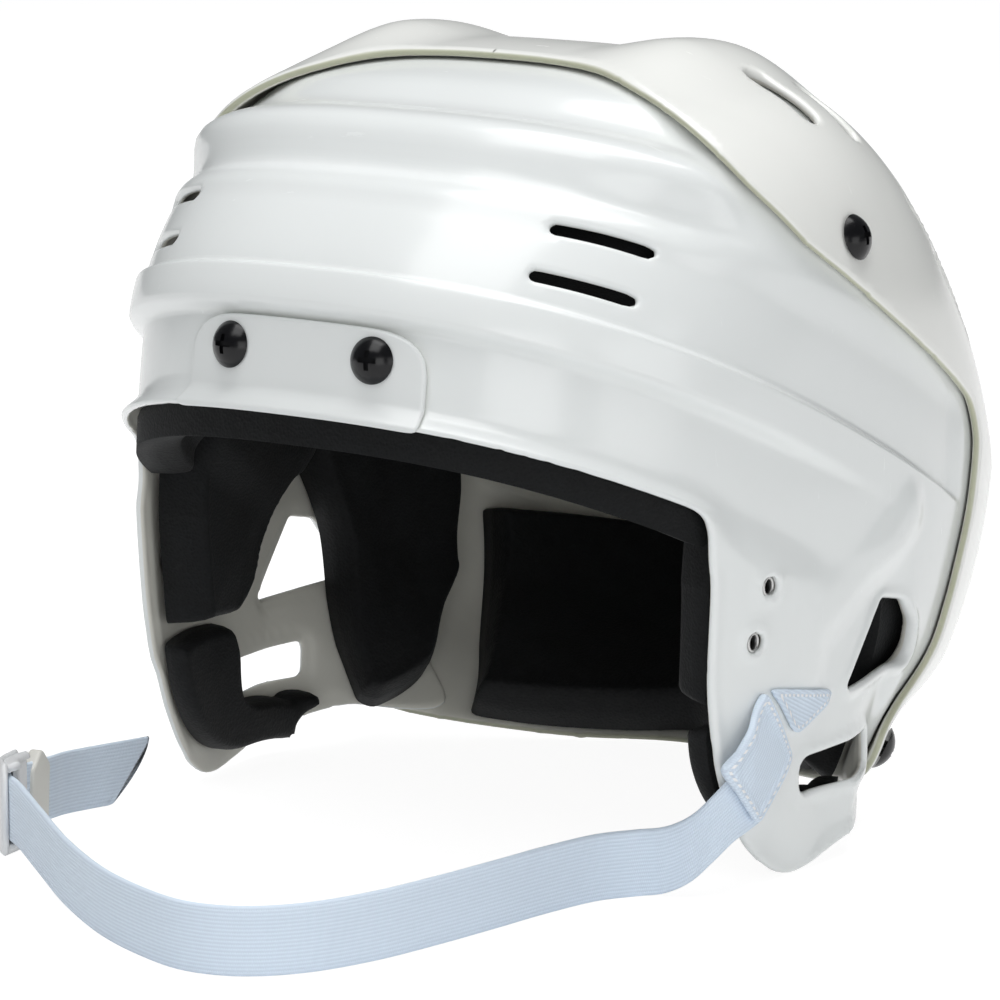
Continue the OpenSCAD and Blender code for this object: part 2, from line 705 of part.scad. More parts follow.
// Hook buckle: an upright bar inside the turn of the webbing, held by a cap above and below,
// and a plate outside the turn that ends in a hook
turn_x = -94;
turn_y = -119.8;
buckle_bar_d = 2.6;
module strap_buckle() {
    cap_h = (buckle_h - strap_w) / 2 - strap_fit;
    plate_x = 2 * (strap_t / 2 + strap_fit) + buckle_bar_d / 2 + 1.7;
    turned = atan2(-0.59, -0.81);
    color(white)
        translate([turn_x, turn_y, buckle_mid_z])
            rotate([0, 0, turned]) {
                cylinder(d = buckle_bar_d, h = buckle_h - 1, center = true, $fn = 32);
                for (side = [-1, 1])
                    translate([0, 0, side * (buckle_h - cap_h) / 2])
                        hull() {
                            translate([-1, 0, 0])
                                cylinder(d = 6, h = cap_h, center = true, $fn = 32);
                            translate([plate_x, 0, 0])
                                cube([2.2, 11, cap_h], center = true);
                        }
                translate([plate_x, 0, 0])
                    rounded_block([2.2, 11, buckle_h], 3);
                translate([plate_x + 1.6, 0, -buckle_h / 2 + 4])
                    rounded_block([4, 9, 7], 2);
            }
}
// Adjuster: a flat frame that both layers of the webbing pass through beside a middle bar
slider_way = way(23);
module strap_slider() {
    color("#e9e6dc")
        on_strap(slider_way)
            difference() {
                rounded_block([5.6, 9, slider_h], 2);
                cube([strap_t + strap_fit, 20, strap_w + 1.6 * strap_fit], center = true);
            }
}

// Stitched fold that holds the strap: it wraps the bar between the two ear openings.
// Each part is a thin tab through places given as [y, z], at a height over the skin.
module tab(places, out, thick, r) {
    hull()
        for (place = places) {
            level = side_level_at(place[0], place[1]);
            t = turn_at(place[0], level);
            on_skin(t, level, out + front_relief(t, level))
                cylinder(r = r, h = thick, $fn = 16);
        }
}
// Flat fold beside the strap's end, its inner face at a given x
module fold(places, x, thick, r) {
    hull()
        for (place = places)
            translate([x, place[0], place[1]])
                rotate([0, 90, 0])
                    cylinder(r = r, h = thick, $fn = 16);
}
fold_x = strap_start_x + strap_t / 2 + 0.6;
through_upper = [13, 54];
through_lower = [-7.5, 26.5];
module strap_anchor() {
    inside = -shell_wall - 2.4 - strap_t;
    color(webbing_white) {
        fold([[-24, 50], [-49, 37], [-36, 21], [-12, 33]], fold_x, 2.4, 2);
        tab([[-19, 49], [-11, 36], through_upper], 1.6, 1.8, 1.2);
        tab([through_upper], inside + 0.3, -inside + 2.2, 1.45);
        tab([through_upper, through_lower], inside, 1.6, 1.2);
        tab([through_lower], inside + 0.3, -inside + 1.6, 1.45);
        tab([through_lower, [-11, 34], [-14, 31]], 0.8, 1.8, 1.2);
    }
}

front_shell();
rear_shell();
brow_plate();
brow_screws();
brow_nuts();
side_screws();
side_nuts();
rear_bolts();
rear_nuts();
visor_inserts();
brow_pad();
left_temple_pad();  // temple_pad_left
mirror([1, 0, 0]) left_temple_pad();  // temple_pad_right
left_ear_pad();  // ear_pad_left
mirror([1, 0, 0]) left_ear_pad();  // ear_pad_right
left_side_pad();  // side_pad_left
mirror([1, 0, 0]) left_side_pad();  // side_pad_right
front_crown_pad();
rear_crown_pad();
nape_pad();
strap_anchor();
chin_strap();
strap_buckle();
strap_slider();
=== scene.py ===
"""Looks of a two-piece ice hockey helmet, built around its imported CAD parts.

Lengths inside the shape functions are millimetres in the row's frame: the face opening looks to -Y,
the wearer's left is +X and the floor is z = 0. Meshes are written in metres.
A place on the shell is a turn in degrees (0 front, 90 wearer's left, 180 back) and a level, which is
the height of the plane z + SLOPE * y. The creases and slots of the shell lie in such planes.
"""
import math

import bpy
import numpy as np
from bpy.props import FloatProperty, FloatVectorProperty, IntProperty, PointerProperty
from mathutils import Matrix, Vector
from mathutils.geometry import convex_hull_2d


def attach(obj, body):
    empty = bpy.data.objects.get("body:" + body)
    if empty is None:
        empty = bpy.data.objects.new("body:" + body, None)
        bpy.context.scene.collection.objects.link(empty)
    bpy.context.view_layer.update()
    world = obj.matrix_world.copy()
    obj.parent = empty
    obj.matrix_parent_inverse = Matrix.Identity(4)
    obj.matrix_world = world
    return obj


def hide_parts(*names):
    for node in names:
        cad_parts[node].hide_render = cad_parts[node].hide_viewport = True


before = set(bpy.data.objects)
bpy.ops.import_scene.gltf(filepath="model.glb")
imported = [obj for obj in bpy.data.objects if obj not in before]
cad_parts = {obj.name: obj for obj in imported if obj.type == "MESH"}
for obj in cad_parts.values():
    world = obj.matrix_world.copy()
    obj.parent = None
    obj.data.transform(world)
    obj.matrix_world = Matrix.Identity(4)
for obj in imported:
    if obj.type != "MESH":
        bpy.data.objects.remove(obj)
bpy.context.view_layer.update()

bl_info = {
    "name": "Ice hockey helmet",
    "version": (1, 0, 0),
    "blender": (4, 5, 0),
    "location": "3D View > Sidebar > Helmet",
    "description": "Builds the shells, foam, webbing and fittings of an ice hockey helmet",
    "category": "Add Mesh",
}

MM = 0.001

# Sizes of the plain dome, as in the part's source
SHELL_W = 217.0
FRONT_LEN = 127.0
REAR_LEN = 148.0
CROWN_LEVEL = 234.5
SLOPE = 0.46
WALL = 2.8
SHELL_GAP = 0.6
SIDE_LEVEL, SIDE_POWER, SIDE_TUCK = 109.0, 3.5, 4.0
FRONT_LEVEL, FRONT_POWER, FRONT_TUCK = 114.0, 1.55, 5.5
REAR_LEVEL, REAR_POWER, REAR_TUCK = 146.0, 1.35, 62.0
CENTRE_Y, CROWN_Y = 7.0, 39.0
FRONT_SQUARE, NAPE_SQUARE, REAR_SQUARE = 2.5, 1.72, 2.15
LOWEST_LEVEL = -24.0

# Relief of the shells: the levels of its forms, their depths and heights, and (y, z) on the sides
BROW_LEVEL, BROW_TOP, CREASE_LEVEL, PANEL_TOP = 82.0, 114.0, 125.0, 163.0
VALLEY_LEVEL, BAND_LEVEL, NOTCH_LEVEL = 165.5, 177.0, 193.0
BROW_DEPTH, BROW_FLARE, PANEL_DEPTH, VALLEY_DEPTH, NOTCH_DEPTH = 4.6, 4.0, 2.4, 3.4, 1.5
BAND_HEIGHT, EAR_RIDGE, EAR_BOWL, TOP_RIB = 4.0, 2.2, 3.0, 5.0
EAR_MIDDLE, EAR_BOWL_R = (12, 43), 47.0
EAR_RIDGE_LINE = ((34, 95), (-12, 69), (-17, 57))
RIB_X = 47.0
EDGE_ROLL, LOBE_FLARE = 0.9, 2.6

# Fittings
SIZE_TRAVEL = 6.0
SIZE_AXIS = np.array([0.0, math.cos(math.radians(12)), math.sin(math.radians(12))])
STRAP_W, STRAP_T = 19.0, 1.8


class HelmetSizes(bpy.types.PropertyGroup):
    columns: IntProperty(
        name="Columns", description="Grid columns round each shell", default=336, min=60, max=420)
    rows: IntProperty(
        name="Rows", description="Grid rows up each shell", default=200, min=40, max=260)
    rim_round: FloatProperty(
        name="Rim rounding", description="How far in from an edge the wall starts to round off",
        default=1.5 * MM, min=0.3 * MM, max=3 * MM, unit="LENGTH")
    pad_round: FloatProperty(
        name="Foam rounding", description="Radius of the foam pads' edges",
        default=3 * MM, min=1.5 * MM, max=6 * MM, unit="LENGTH")
    rib_pitch: FloatProperty(
        name="Webbing rib pitch", description="Distance between the lengthwise ribs of the webbing",
        default=1.05 * MM, min=0.5 * MM, max=3 * MM, unit="LENGTH")


class HelmetColours(bpy.types.PropertyGroup):
    shell: FloatVectorProperty(
        name="Shell", description="White of the moulded shells", subtype="COLOR",
        default=(0.84, 0.865, 0.86), min=0, max=1)
    rear_shell: FloatVectorProperty(
        name="Rear shell", description="Slightly warmer white of the rear shell", subtype="COLOR",
        default=(0.875, 0.88, 0.85), min=0, max=1)
    # Olive colour painted on the rear shell's edge: painted shade and the yellow of light shining through
    # the plastic there
    painted_edge_shade: FloatVectorProperty(
        name="Rear shell's edge", description="Bare edge of the rear shell", subtype="COLOR",
        default=(0.50, 0.51, 0.38), min=0, max=1)
    lining_side: FloatVectorProperty(
        name="Shell inside", description="Warm grey of the shells' unpolished inside", subtype="COLOR",
        default=(0.78, 0.77, 0.70), min=0, max=1)
    foam: FloatVectorProperty(
        name="Foam", description="Black of the closed-cell foam", subtype="COLOR",
        default=(0.004, 0.0045, 0.005), min=0, max=1)
    webbing: FloatVectorProperty(
        name="Webbing", description="Cool white of the elastic webbing", subtype="COLOR",
        default=(0.75, 0.855, 0.99), min=0, max=1)
    screw: FloatVectorProperty(
        name="Screws", description="Black of the screw heads", subtype="COLOR",
        default=(0.004, 0.004, 0.005), min=0, max=1)
    steel: FloatVectorProperty(
        name="Nuts", description="Zinc plating of the nuts", subtype="COLOR",
        default=(0.58, 0.58, 0.57), min=0, max=1)
    buckle: FloatVectorProperty(
        name="Buckle", description="White of the hook buckle", subtype="COLOR",
        default=(0.78, 0.79, 0.80), min=0, max=1)
    adjuster: FloatVectorProperty(
        name="Adjuster", description="Milky plastic of the strap adjuster", subtype="COLOR",
        default=(0.74, 0.73, 0.68), min=0, max=1)
    floor: FloatVectorProperty(
        name="Floor", description="White of the studio floor", subtype="COLOR",
        default=(0.93, 0.93, 0.93), min=0, max=1)


def clamp01(v):
    return np.clip(v, 0.0, 1.0)


def ease(v):
    """3 c^2 - 2 c^3 of v held between 0 and 1"""
    c = clamp01(v)
    return c * c * (3 - 2 * c)


def bump(v):
    """Smooth hump that is 1 at v = 0 and 0 from |v| = 1 outwards"""
    return ease(1 - np.abs(v))


def signed_pow(v, p):
    return np.sign(v) * np.abs(v) ** p


def reach(level, size, widest, power, tuck):
    """size (1 - rise^p)^(1/p) above the widest level, and size less tuck (drop / 100)^2 below it"""
    rise = clamp01((level - widest) / (CROWN_LEVEL - widest))
    above = size * np.maximum(0, 1 - rise ** power) ** (1 / power)
    return np.where(level > widest, above, size - tuck * ((widest - level) / 100) ** 2)


def plan(turn, level):
    """Half width, reach, superellipse power and middle of the dome's plan at a turn and level"""
    front = np.cos(np.radians(turn)) > 0
    half = reach(level, SHELL_W / 2, SIDE_LEVEL, SIDE_POWER, SIDE_TUCK)
    ahead = reach(level, FRONT_LEN, FRONT_LEVEL, FRONT_POWER, FRONT_TUCK)
    behind = reach(level, REAR_LEN, REAR_LEVEL, REAR_POWER, REAR_TUCK)
    square = NAPE_SQUARE + (REAR_SQUARE - NAPE_SQUARE) * ease((level - 45) / 40)
    middle = CENTRE_Y + (CROWN_Y - CENTRE_Y) * clamp01((level - 60) / (CROWN_LEVEL - 60)) ** 1.2
    return half, np.where(front, ahead, behind), np.where(front, FRONT_SQUARE, square), middle


def dome(turn, level):
    """x = w |sin t|^(2/n), y = m - r |cos t|^(2/n), z = level - slope y"""
    turn, level = np.broadcast_arrays(np.asarray(turn, float), np.asarray(level, float))
    half, far, square, middle = plan(turn, level)
    angle = np.radians(turn)
    x = half * signed_pow(np.sin(angle), 2 / square)
    y = middle - far * signed_pow(np.cos(angle), 2 / square)
    return np.stack([x, y, level - SLOPE * y], -1)


def outward(turn, level):
    """Unit cross product of the tangent round the superellipse and the tangent up the dome"""
    turn, level = np.broadcast_arrays(np.asarray(turn, float), np.asarray(level, float))
    level = np.minimum(level, CROWN_LEVEL - 0.3)
    half, far, square, _ = plan(turn, level)
    angle = np.radians(turn)
    lean = 2 * (square - 1) / square
    across = signed_pow(np.sin(angle), lean) / np.maximum(half, 1e-6)
    along = -signed_pow(np.cos(angle), lean) / np.maximum(far, 1e-6)
    round_it = np.stack([-along, across, -SLOPE * across], -1)
    up = dome(turn, level + 0.15) - dome(turn, level - 0.15)
    normal = np.cross(round_it, up)
    return normal / np.linalg.norm(normal, axis=-1, keepdims=True)


def turn_at(y, level):
    """Turn of the left-hand dome point that lies at y"""
    y, level = np.broadcast_arrays(np.asarray(y, float), np.asarray(level, float))
    _, ahead, _, middle = plan(np.zeros_like(level), level)
    _, behind, square, _ = plan(np.full_like(level, 180.0), level)
    front = np.degrees(np.arccos(np.minimum(1, (np.maximum(middle - y, 0) / ahead) ** (FRONT_SQUARE / 2))))
    back = 90 + np.degrees(np.arcsin(np.minimum(1, (np.maximum(y - middle, 0) / behind) ** (square / 2))))
    return np.where(y < middle, front, back)


def turn_at_x(x, level):
    """Turn of the front dome point that lies at x"""
    half = plan(np.zeros_like(np.asarray(level, float)), level)[0]
    return np.sign(x) * np.degrees(np.arcsin(np.minimum(1, np.abs(x) / half) ** (FRONT_SQUARE / 2)))


def off_line(p, a, b):
    """Distance of points from the straight line between two points"""
    a, b = np.array(a, float), np.array(b, float)
    share = clamp01(((p - a) @ (b - a)) / ((b - a) @ (b - a)))
    return np.linalg.norm(p - a - share[..., None] * (b - a), axis=-1)


def off_front(turn):
    """Turn away from the front on either side, 0 to 180: |turn| of a turn between -180 and 180"""
    return np.abs((np.asarray(turn) + 180) % 360 - 180)


def ear_bowl(yz):
    """Depth of the hollow about the ear: eases in over the last 17 mm of its radius"""
    return EAR_BOWL * ease((EAR_BOWL_R - np.linalg.norm(yz - np.array(EAR_MIDDLE), axis=-1)) / 17)


def panel_sink(level):
    """Depth of the panel: steps in over 2.4 mm at the crease and eases out over 14 mm at its top"""
    return PANEL_DEPTH * ease((level - CREASE_LEVEL + 0.4) / 2.4) * ease((PANEL_TOP - level) / 14)


def front_relief(turn, level):
    """Height of the front shell's outside over the dome: the sum of its band, ridge and flare less
    its brow, panel, valleys and ear bowl, each a depth times humps and eases of level and turn"""
    p = dome(turn, level)
    around = off_front(turn)
    yz = p[..., 1:]
    brow = BROW_DEPTH * ease((BROW_TOP - level) / 5) * ease((level - 72) / 16) * ease((96 - around) / 26)
    flare = BROW_FLARE * ease((BROW_LEVEL + 7 - level) / 7) * ease((70 - around) / 12)
    valley = VALLEY_DEPTH * bump((level - VALLEY_LEVEL) / 11) * ease((64 - around) / 18)
    notch = NOTCH_DEPTH * bump((level - NOTCH_LEVEL) / 10) * ease((56 - around) / 16)
    band = BAND_HEIGHT * bump((level - BAND_LEVEL) / 13) * ease((-29 - p[..., 1]) / 12)
    top, bend, foot = EAR_RIDGE_LINE
    ridge = EAR_RIDGE * bump(np.minimum(off_line(yz, top, bend), off_line(yz, bend, foot)) / 13)
    sunk = np.minimum(flare, brow) - brow
    return band + ridge + sunk - panel_sink(level) - valley - notch - ear_bowl(yz)


def rear_relief(turn, level):
    """Two ribs along the top of the rear shell that grow out of its front edge"""
    p = dome(turn, level)
    grow = ease((p[..., 1] + 28) / 36) * ease((level - 128) / 40)
    return TOP_RIB * grow * bump((np.abs(p[..., 0]) - RIB_X) / 27)


def rear_lift(turn, level):
    """Gap to the front shell, wider where the dome faces forwards, so that the shell can slide back"""
    return SHELL_GAP + SIZE_TRAVEL * np.maximum(0, -outward(turn, level) @ SIZE_AXIS)


def smooth_outline(points, spacing=1.2, blur=2.0):
    """Closed line through corner points, resampled evenly and rounded by a moving average"""
    points = np.array(points, float)
    closed = np.vstack([points, points[:1]])
    along = np.concatenate([[0], np.cumsum(np.linalg.norm(np.diff(closed, axis=0), axis=1))])
    count = max(12, int(along[-1] / spacing))
    s = np.arange(count) * along[-1] / count
    line = np.stack([np.interp(s, along, closed[:, k]) for k in range(points.shape[1])], -1)
    half = max(0, int(round(blur / spacing)))
    for _ in range(2):
        line = sum(np.roll(line, k, 0) for k in range(-half, half + 1)) / (2 * half + 1)
    return line


def inside_line(p, line):
    """Even-odd test of plane points against a closed line, by counting crossings to the right"""
    a, b = line, np.roll(line, -1, 0)
    crossings = np.zeros(len(p), int)
    for start, end in zip(a, b):
        spans = (start[1] > p[:, 1]) != (end[1] > p[:, 1])
        if spans.any():
            at = start[0] + (p[:, 1] - start[1]) * (end[0] - start[0]) / (end[1] - start[1])
            crossings += spans & (p[:, 0] < at)
    return crossings % 2 == 1


def distance_in(p, line):
    """Signed distance of plane points to a closed line, positive inside it"""
    a, b = line, np.roll(line, -1, 0)
    best = np.full(len(p), 1e9)
    for start, end in zip(a, b):
        near = np.abs(p - (start + end) / 2).max(1) < best
        if near.any():
            best[near] = np.minimum(best[near], off_line(p[near], start, end))
    return np.where(inside_line(p, line), best, -best)


def distance_slot(p, a, b, radius):
    """Distance of surface points outside a round-ended slot between two surface points. The part of
    the offset along the surface's normal is left out."""
    a, b = np.array(a), np.array(b)
    share = clamp01(((p - a[0]) @ (b[0] - a[0])) / ((b[0] - a[0]) @ (b[0] - a[0])))
    offset = p - a[0] - share[:, None] * (b[0] - a[0])
    normal = a[1] + b[1]
    normal = normal / np.linalg.norm(normal)
    depth = offset @ normal
    flat = np.linalg.norm(offset - depth[:, None] * normal, axis=1) - radius
    return np.where(np.abs(depth) < 14, flat, 1e3)


def cut_at(places, dist, tris, value, settled=(), snap=0.22):
    """Splits the triangles along the line where the distance is value. Corners that lie close to
    the line slide onto it first, which leaves no slivers. Corners on a settled distance stay."""
    gap = dist - value
    free = ~np.isin(dist, settled)
    sides = np.sort(np.concatenate([tris[:, [0, 1]], tris[:, [1, 2]], tris[:, [2, 0]]]), 1)
    sides = np.unique(sides, axis=0)
    a, b = sides[gap[sides[:, 0]] * gap[sides[:, 1]] < 0].T
    share = gap[a] / (gap[a] - gap[b])
    meet = places[a] + share[:, None] * (places[b] - places[a])
    for corner, close in ((a, (share < snap) & free[a]), (b, (share > 1 - snap) & free[b])):
        places[corner[close]] = meet[close]
        gap[corner[close]] = 0
    sign = np.sign(gap)
    s = sign[tris]
    mixed = (s.max(1) > 0) & (s.min(1) < 0)
    whole, cut, s = tris[~mixed], tris[mixed], s[mixed]
    touching = (s == 0).any(1)
    lone = np.where(touching, np.argmax(s == 0, 1), np.argmax(s == -np.sign(s.sum(1))[:, None], 1))
    cut = np.take_along_axis(cut, (lone[:, None] + np.arange(3)) % 3, 1)
    one, two = cut[touching], cut[~touching]
    pairs = np.sort(np.concatenate([one[:, [1, 2]], two[:, [0, 1]], two[:, [0, 2]]]), 1)
    if len(pairs) == 0:
        return places, np.where(gap == 0, value, dist), whole
    unique, back = np.unique(pairs, axis=0, return_inverse=True)
    back = back.ravel() + len(places)
    ga, gb = gap[unique[:, 0]], gap[unique[:, 1]]
    share = (ga / (ga - gb))[:, None]
    fresh = places[unique[:, 0]] + share * (places[unique[:, 1]] - places[unique[:, 0]])
    m = back[:len(one)]
    p, q = back[len(one):len(one) + len(two)], back[len(one) + len(two):]
    tris = np.concatenate([
        whole,
        np.stack([one[:, 0], one[:, 1], m], 1), np.stack([one[:, 0], m, one[:, 2]], 1),
        np.stack([two[:, 0], p, q], 1), np.stack([p, two[:, 1], two[:, 2]], 1),
        np.stack([p, two[:, 2], q], 1)])
    dist = np.concatenate([np.where(gap == 0, value, dist), np.full(len(fresh), value)])
    return np.concatenate([places, fresh]), dist, tris


def grid_triangles(rows, columns):
    """Two triangles for each cell of a grid of points"""
    a = (np.arange(rows - 1)[:, None] * columns + np.arange(columns - 1)[None]).ravel()
    return np.concatenate([np.stack([a, a + 1, a + columns + 1], 1),
                           np.stack([a, a + columns + 1, a + columns], 1)])


def trimmed_sheet(turns, levels, distance, steps):
    """Grid of [turn, level] places, trimmed where the distance is 0 and given extra rows of points
    at the distances in steps, so that an edge can be rounded there"""
    places = np.stack(np.meshgrid(turns, levels), -1).reshape(-1, 2)
    tris = grid_triangles(len(levels), len(turns))
    dist = distance(places)
    settled = []
    for value in (0.0, *steps):
        places, dist, tris = cut_at(places, dist, tris, value, settled)
        tris = tris[dist[tris].sum(1) > 0]
        settled.append(value)
    used, tris = np.unique(tris, return_inverse=True)
    return places[used], dist[used], tris.reshape(-1, 3)


def weld(points, tris, values=()):
    """Joins points that share a place and drops the triangles that close up"""
    _, first, back = np.unique(np.round(points / 2e-3).astype(np.int64), axis=0,
                               return_index=True, return_inverse=True)
    tris = back.ravel()[tris]
    keep = (tris[:, 0] != tris[:, 1]) & (tris[:, 1] != tris[:, 2]) & (tris[:, 2] != tris[:, 0])
    return points[first], tris[keep], [v[first] for v in values]


def moulding(sheet, outer, inner, rim, marks=None):
    """Closed wall over a trimmed sheet. The outer and inner faces stand off the dome by the given
    heights. Within rim of an edge both draw in to their middle along an ellipse. marks holds further
    values of the sheet's places that both faces take over."""
    places, dist, tris = sheet
    base, normal = dome(places[:, 0], places[:, 1]), outward(places[:, 0], places[:, 1])
    near = clamp01(1 - dist / rim)
    full = np.sqrt(1 - near ** 2)
    middle, half = (outer + inner) / 2, (outer - inner) / 2
    top = base + normal * (middle + half * full)[:, None]
    bottom = base + normal * (middle - half * full)[:, None]
    points = np.concatenate([top, bottom])
    faces = np.concatenate([tris, tris[:, ::-1] + len(top)])
    values = {"inside": np.concatenate([np.zeros(len(top)), np.ones(len(top))])}
    for key, mark in {"edge": dist, **(marks or {})}.items():
        values[key] = np.concatenate([mark, mark])
    points, faces, kept = weld(points, faces, values.values())
    return points, faces, dict(zip(values, kept))


def spread(values, steps, count):
    """Picks count values that lie evenly along the way that the steps between the values add up to"""
    along = np.concatenate([[0], np.cumsum(steps)])
    return np.interp(np.linspace(0, along[-1], count), along, values)


def even_turns(count, start=0.0, end=360.0, level=112.0, close=()):
    """Turns that lie evenly along the dome's plan, closer together near the (turn, spread) in close"""
    fine = np.linspace(start, end, 4001)
    weight = np.ones_like(fine) + sum(1.6 * bump((fine - c) / w) for c, w in close)
    steps = np.linalg.norm(np.diff(dome(fine, level), axis=0), axis=1) * weight[1:]
    return spread(fine, steps, count)


def even_levels(count, low=LOWEST_LEVEL, high=CROWN_LEVEL, close=()):
    """Levels that lie evenly up the dome's side, closer together near the levels in close"""
    fine = np.linspace(low, high, 6001)
    half = plan(np.full_like(fine, 90.0), fine)[0]
    weight = np.ones_like(fine) + sum(2.5 * bump((fine - c) / 5) for c in close)
    return spread(fine, np.hypot(np.diff(fine), np.diff(half)) * weight[1:], count)


def add_mesh(name, points, faces, values=None, uv=None):
    """Mesh object from points in millimetres, with point attributes and a UV map"""
    mesh = bpy.data.meshes.new(name)
    faces = np.asarray(faces, np.int32)
    mesh.vertices.add(len(points))
    mesh.vertices.foreach_set("co", (np.asarray(points) * MM).astype(np.float32).ravel())
    sides = faces.shape[1]
    mesh.loops.add(faces.size)
    mesh.loops.foreach_set("vertex_index", faces.ravel())
    mesh.polygons.add(len(faces))
    mesh.polygons.foreach_set("loop_start", np.arange(0, faces.size, sides, dtype=np.int32))
    mesh.polygons.foreach_set("use_smooth", np.ones(len(faces), bool))
    for key, value in (values or {}).items():
        attribute = mesh.attributes.new(key, "FLOAT", "POINT")
        attribute.data.foreach_set("value", np.asarray(value, np.float32))
    if uv is not None:
        layer = mesh.uv_layers.new(name="UVMap")
        layer.data.foreach_set("uv", np.asarray(uv, np.float32)[faces.ravel()].ravel())
    mesh.update()
    mesh.validate()
    piece = bpy.data.objects.new(name, mesh)
    bpy.context.scene.collection.objects.link(piece)
    return piece


def paint(piece, material):
    piece.data.materials.clear()
    piece.data.materials.append(material)


def settle(piece, body, material, nodes):
    """Gives a piece its material and body, and hides the CAD nodes that it stands for"""
    paint(piece, material)
    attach(piece, body)
    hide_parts(*nodes)


class Value:
    """A shader socket or a number that Python's operators turn into Math nodes"""

    def __init__(self, tree, socket):
        self.tree, self.socket = tree, socket

    def math(self, operation, *others):
        return self.tree.node("ShaderNodeMath", {"operation": operation}, dict(enumerate((self, *others))))

    def __add__(self, other):
        return self.math("ADD", other)

    def __sub__(self, other):
        return self.math("SUBTRACT", other)

    def __rsub__(self, other):
        return Value(self.tree, other).math("SUBTRACT", self)

    def __mul__(self, other):
        return self.math("MULTIPLY", other)

    __radd__ = __add__
    __rmul__ = __mul__

    def between(self, low, high):
        """0 at low and 1 at high, held between them"""
        return self.tree.node("ShaderNodeMapRange", {"clamp": True}, {0: self, 1: low, 2: high})


class Tree:
    """A node tree whose nodes take numbers, colours, sockets and Values as inputs"""

    def __init__(self, node_tree):
        self.nodes, self.links = node_tree.nodes, node_tree.links

    def node(self, kind, settings=None, inputs=None, out=0):
        """Adds a node, sets its settings, then its inputs to values or links, and gives an output"""
        node = self.nodes.new(kind)
        for key, value in (settings or {}).items():
            setattr(node, key, value)
        for key, value in (inputs or {}).items():
            self.put(node.inputs[key], value)
        return Value(self, node.outputs[out])

    def put(self, socket, value):
        if isinstance(value, Value):
            value = value.socket
        if isinstance(value, bpy.types.NodeSocket):
            self.links.new(value, socket)
        elif isinstance(value, (tuple, list)) and len(value) == 3 and socket.type == "RGBA":
            socket.default_value = (*value, 1)
        else:
            socket.default_value = value

    def rays(self, kind):
        return self.node("ShaderNodeLightPath", out=f"Is {kind} Ray")


class Finish(Tree):
    """A material's node tree with one Principled surface"""

    def __init__(self, name):
        self.material = bpy.data.materials.new(name)
        self.material.use_nodes = True
        super().__init__(self.material.node_tree)
        self.surface = self.nodes["Principled BSDF"]

    def set(self, **inputs):
        """Sets inputs of the surface, named with _ for each space"""
        for key, value in inputs.items():
            self.put(self.surface.inputs[key.replace("_", " ")], value)

    def place(self):
        return self.node("ShaderNodeTexCoord", out="Object")

    def uv(self, axis):
        uv = self.node("ShaderNodeTexCoord", out="UV")
        return self.node("ShaderNodeSeparateXYZ", inputs={0: uv}, out=axis)

    def attribute(self, name):
        return self.node("ShaderNodeAttribute", {"attribute_name": name}, out="Fac")

    def noise(self, scale, detail=3.0, stretch=(1, 1, 1), roughness=0.55):
        where = self.node("ShaderNodeMapping", inputs={"Vector": self.place(), "Scale": stretch})
        return self.node("ShaderNodeTexNoise", inputs={
            "Vector": where, "Scale": scale, "Detail": detail, "Roughness": roughness}, out="Fac")

    def cells(self, scale):
        return self.node("ShaderNodeTexVoronoi", inputs={"Vector": self.place(), "Scale": scale},
                         out="Distance")

    def mix(self, share, a, b):
        """Colour between a and b, which are sockets or colours"""
        return self.node("ShaderNodeMix", {"data_type": "RGBA"}, {"Factor": share, 6: a, 7: b}, out=2)

    def bump(self, height, strength, depth_mm):
        normal = self.node("ShaderNodeBump", inputs={
            "Strength": strength, "Distance": depth_mm * MM, "Height": height}, out="Normal")
        self.set(Normal=normal)


def shade(colour, factor):
    return tuple(min(1.0, c * factor) for c in colour)


def shell_finish(name, white, lining, gloss=0.19, painted_edge_shade=None):
    """Moulded plastic: faint flow clouds, hairline scratches, a satin inside and, if a colour for it is
    given, an olive edge that is painted shade and the yellow of light shining through the plastic
    """
    f = Finish(name)
    inside = f.attribute("inside").between(0.35, 0.65)
    clouds = f.noise(14, 4)
    scratches = f.noise(60, 5, (1, 9, 1), 0.7).between(0.66, 0.72)
    dust = f.cells(900).between(0.05, 0.0)
    outside = f.mix(clouds, shade(white, 0.985), shade(white, 1.01))
    within = f.mix(clouds.between(0.35, 0.65), shade(lining, 0.9), shade(lining, 1.06))
    colour = f.mix(inside, outside, within)
    # Painted shade and painted through-light on the edge: within half a millimetre of the outer rim the
    # colour turns olive
    if painted_edge_shade:
        colour = f.mix(f.attribute("rim").between(0.5, 0.12), colour, painted_edge_shade)
    f.set(Base_Color=colour,
          Roughness=gloss + scratches * 0.10 + clouds * 0.05 + dust * 0.1 + inside * 0.3,
          Coat_Weight=0.2, Coat_Roughness=0.12, IOR=1.49)
    f.bump(f.noise(240, 2) * 0.35 + f.noise(30, 2) + inside * f.noise(900, 3) * 0.5, 0.12, 0.25)
    return f.material


def foam_finish(colours):
    """Black closed-cell foam: tiny open skin cells, a soft sheen and a little grey dust"""
    f = Finish("black_closed_cell_foam")
    black = tuple(colours.foam)
    cells = f.cells(1100)
    coarse = f.noise(90, 4)
    dust = f.noise(350, 4).between(0.64, 0.78)
    base = f.mix(coarse.between(0.35, 0.7), shade(black, 0.75), shade(black, 1.6))
    f.set(Base_Color=f.mix(dust * 0.1, base, (0.04, 0.04, 0.04)),
          Roughness=0.72 + coarse * 0.2 - cells.between(0.0, 0.6) * 0.08,
          Sheen_Weight=0.02, Sheen_Roughness=0.6, Specular_IOR_Level=0.22)
    f.bump(cells * 0.6 + coarse * 1.2 + f.noise(420, 2) * 0.4, 0.45, 0.5)
    return f.material


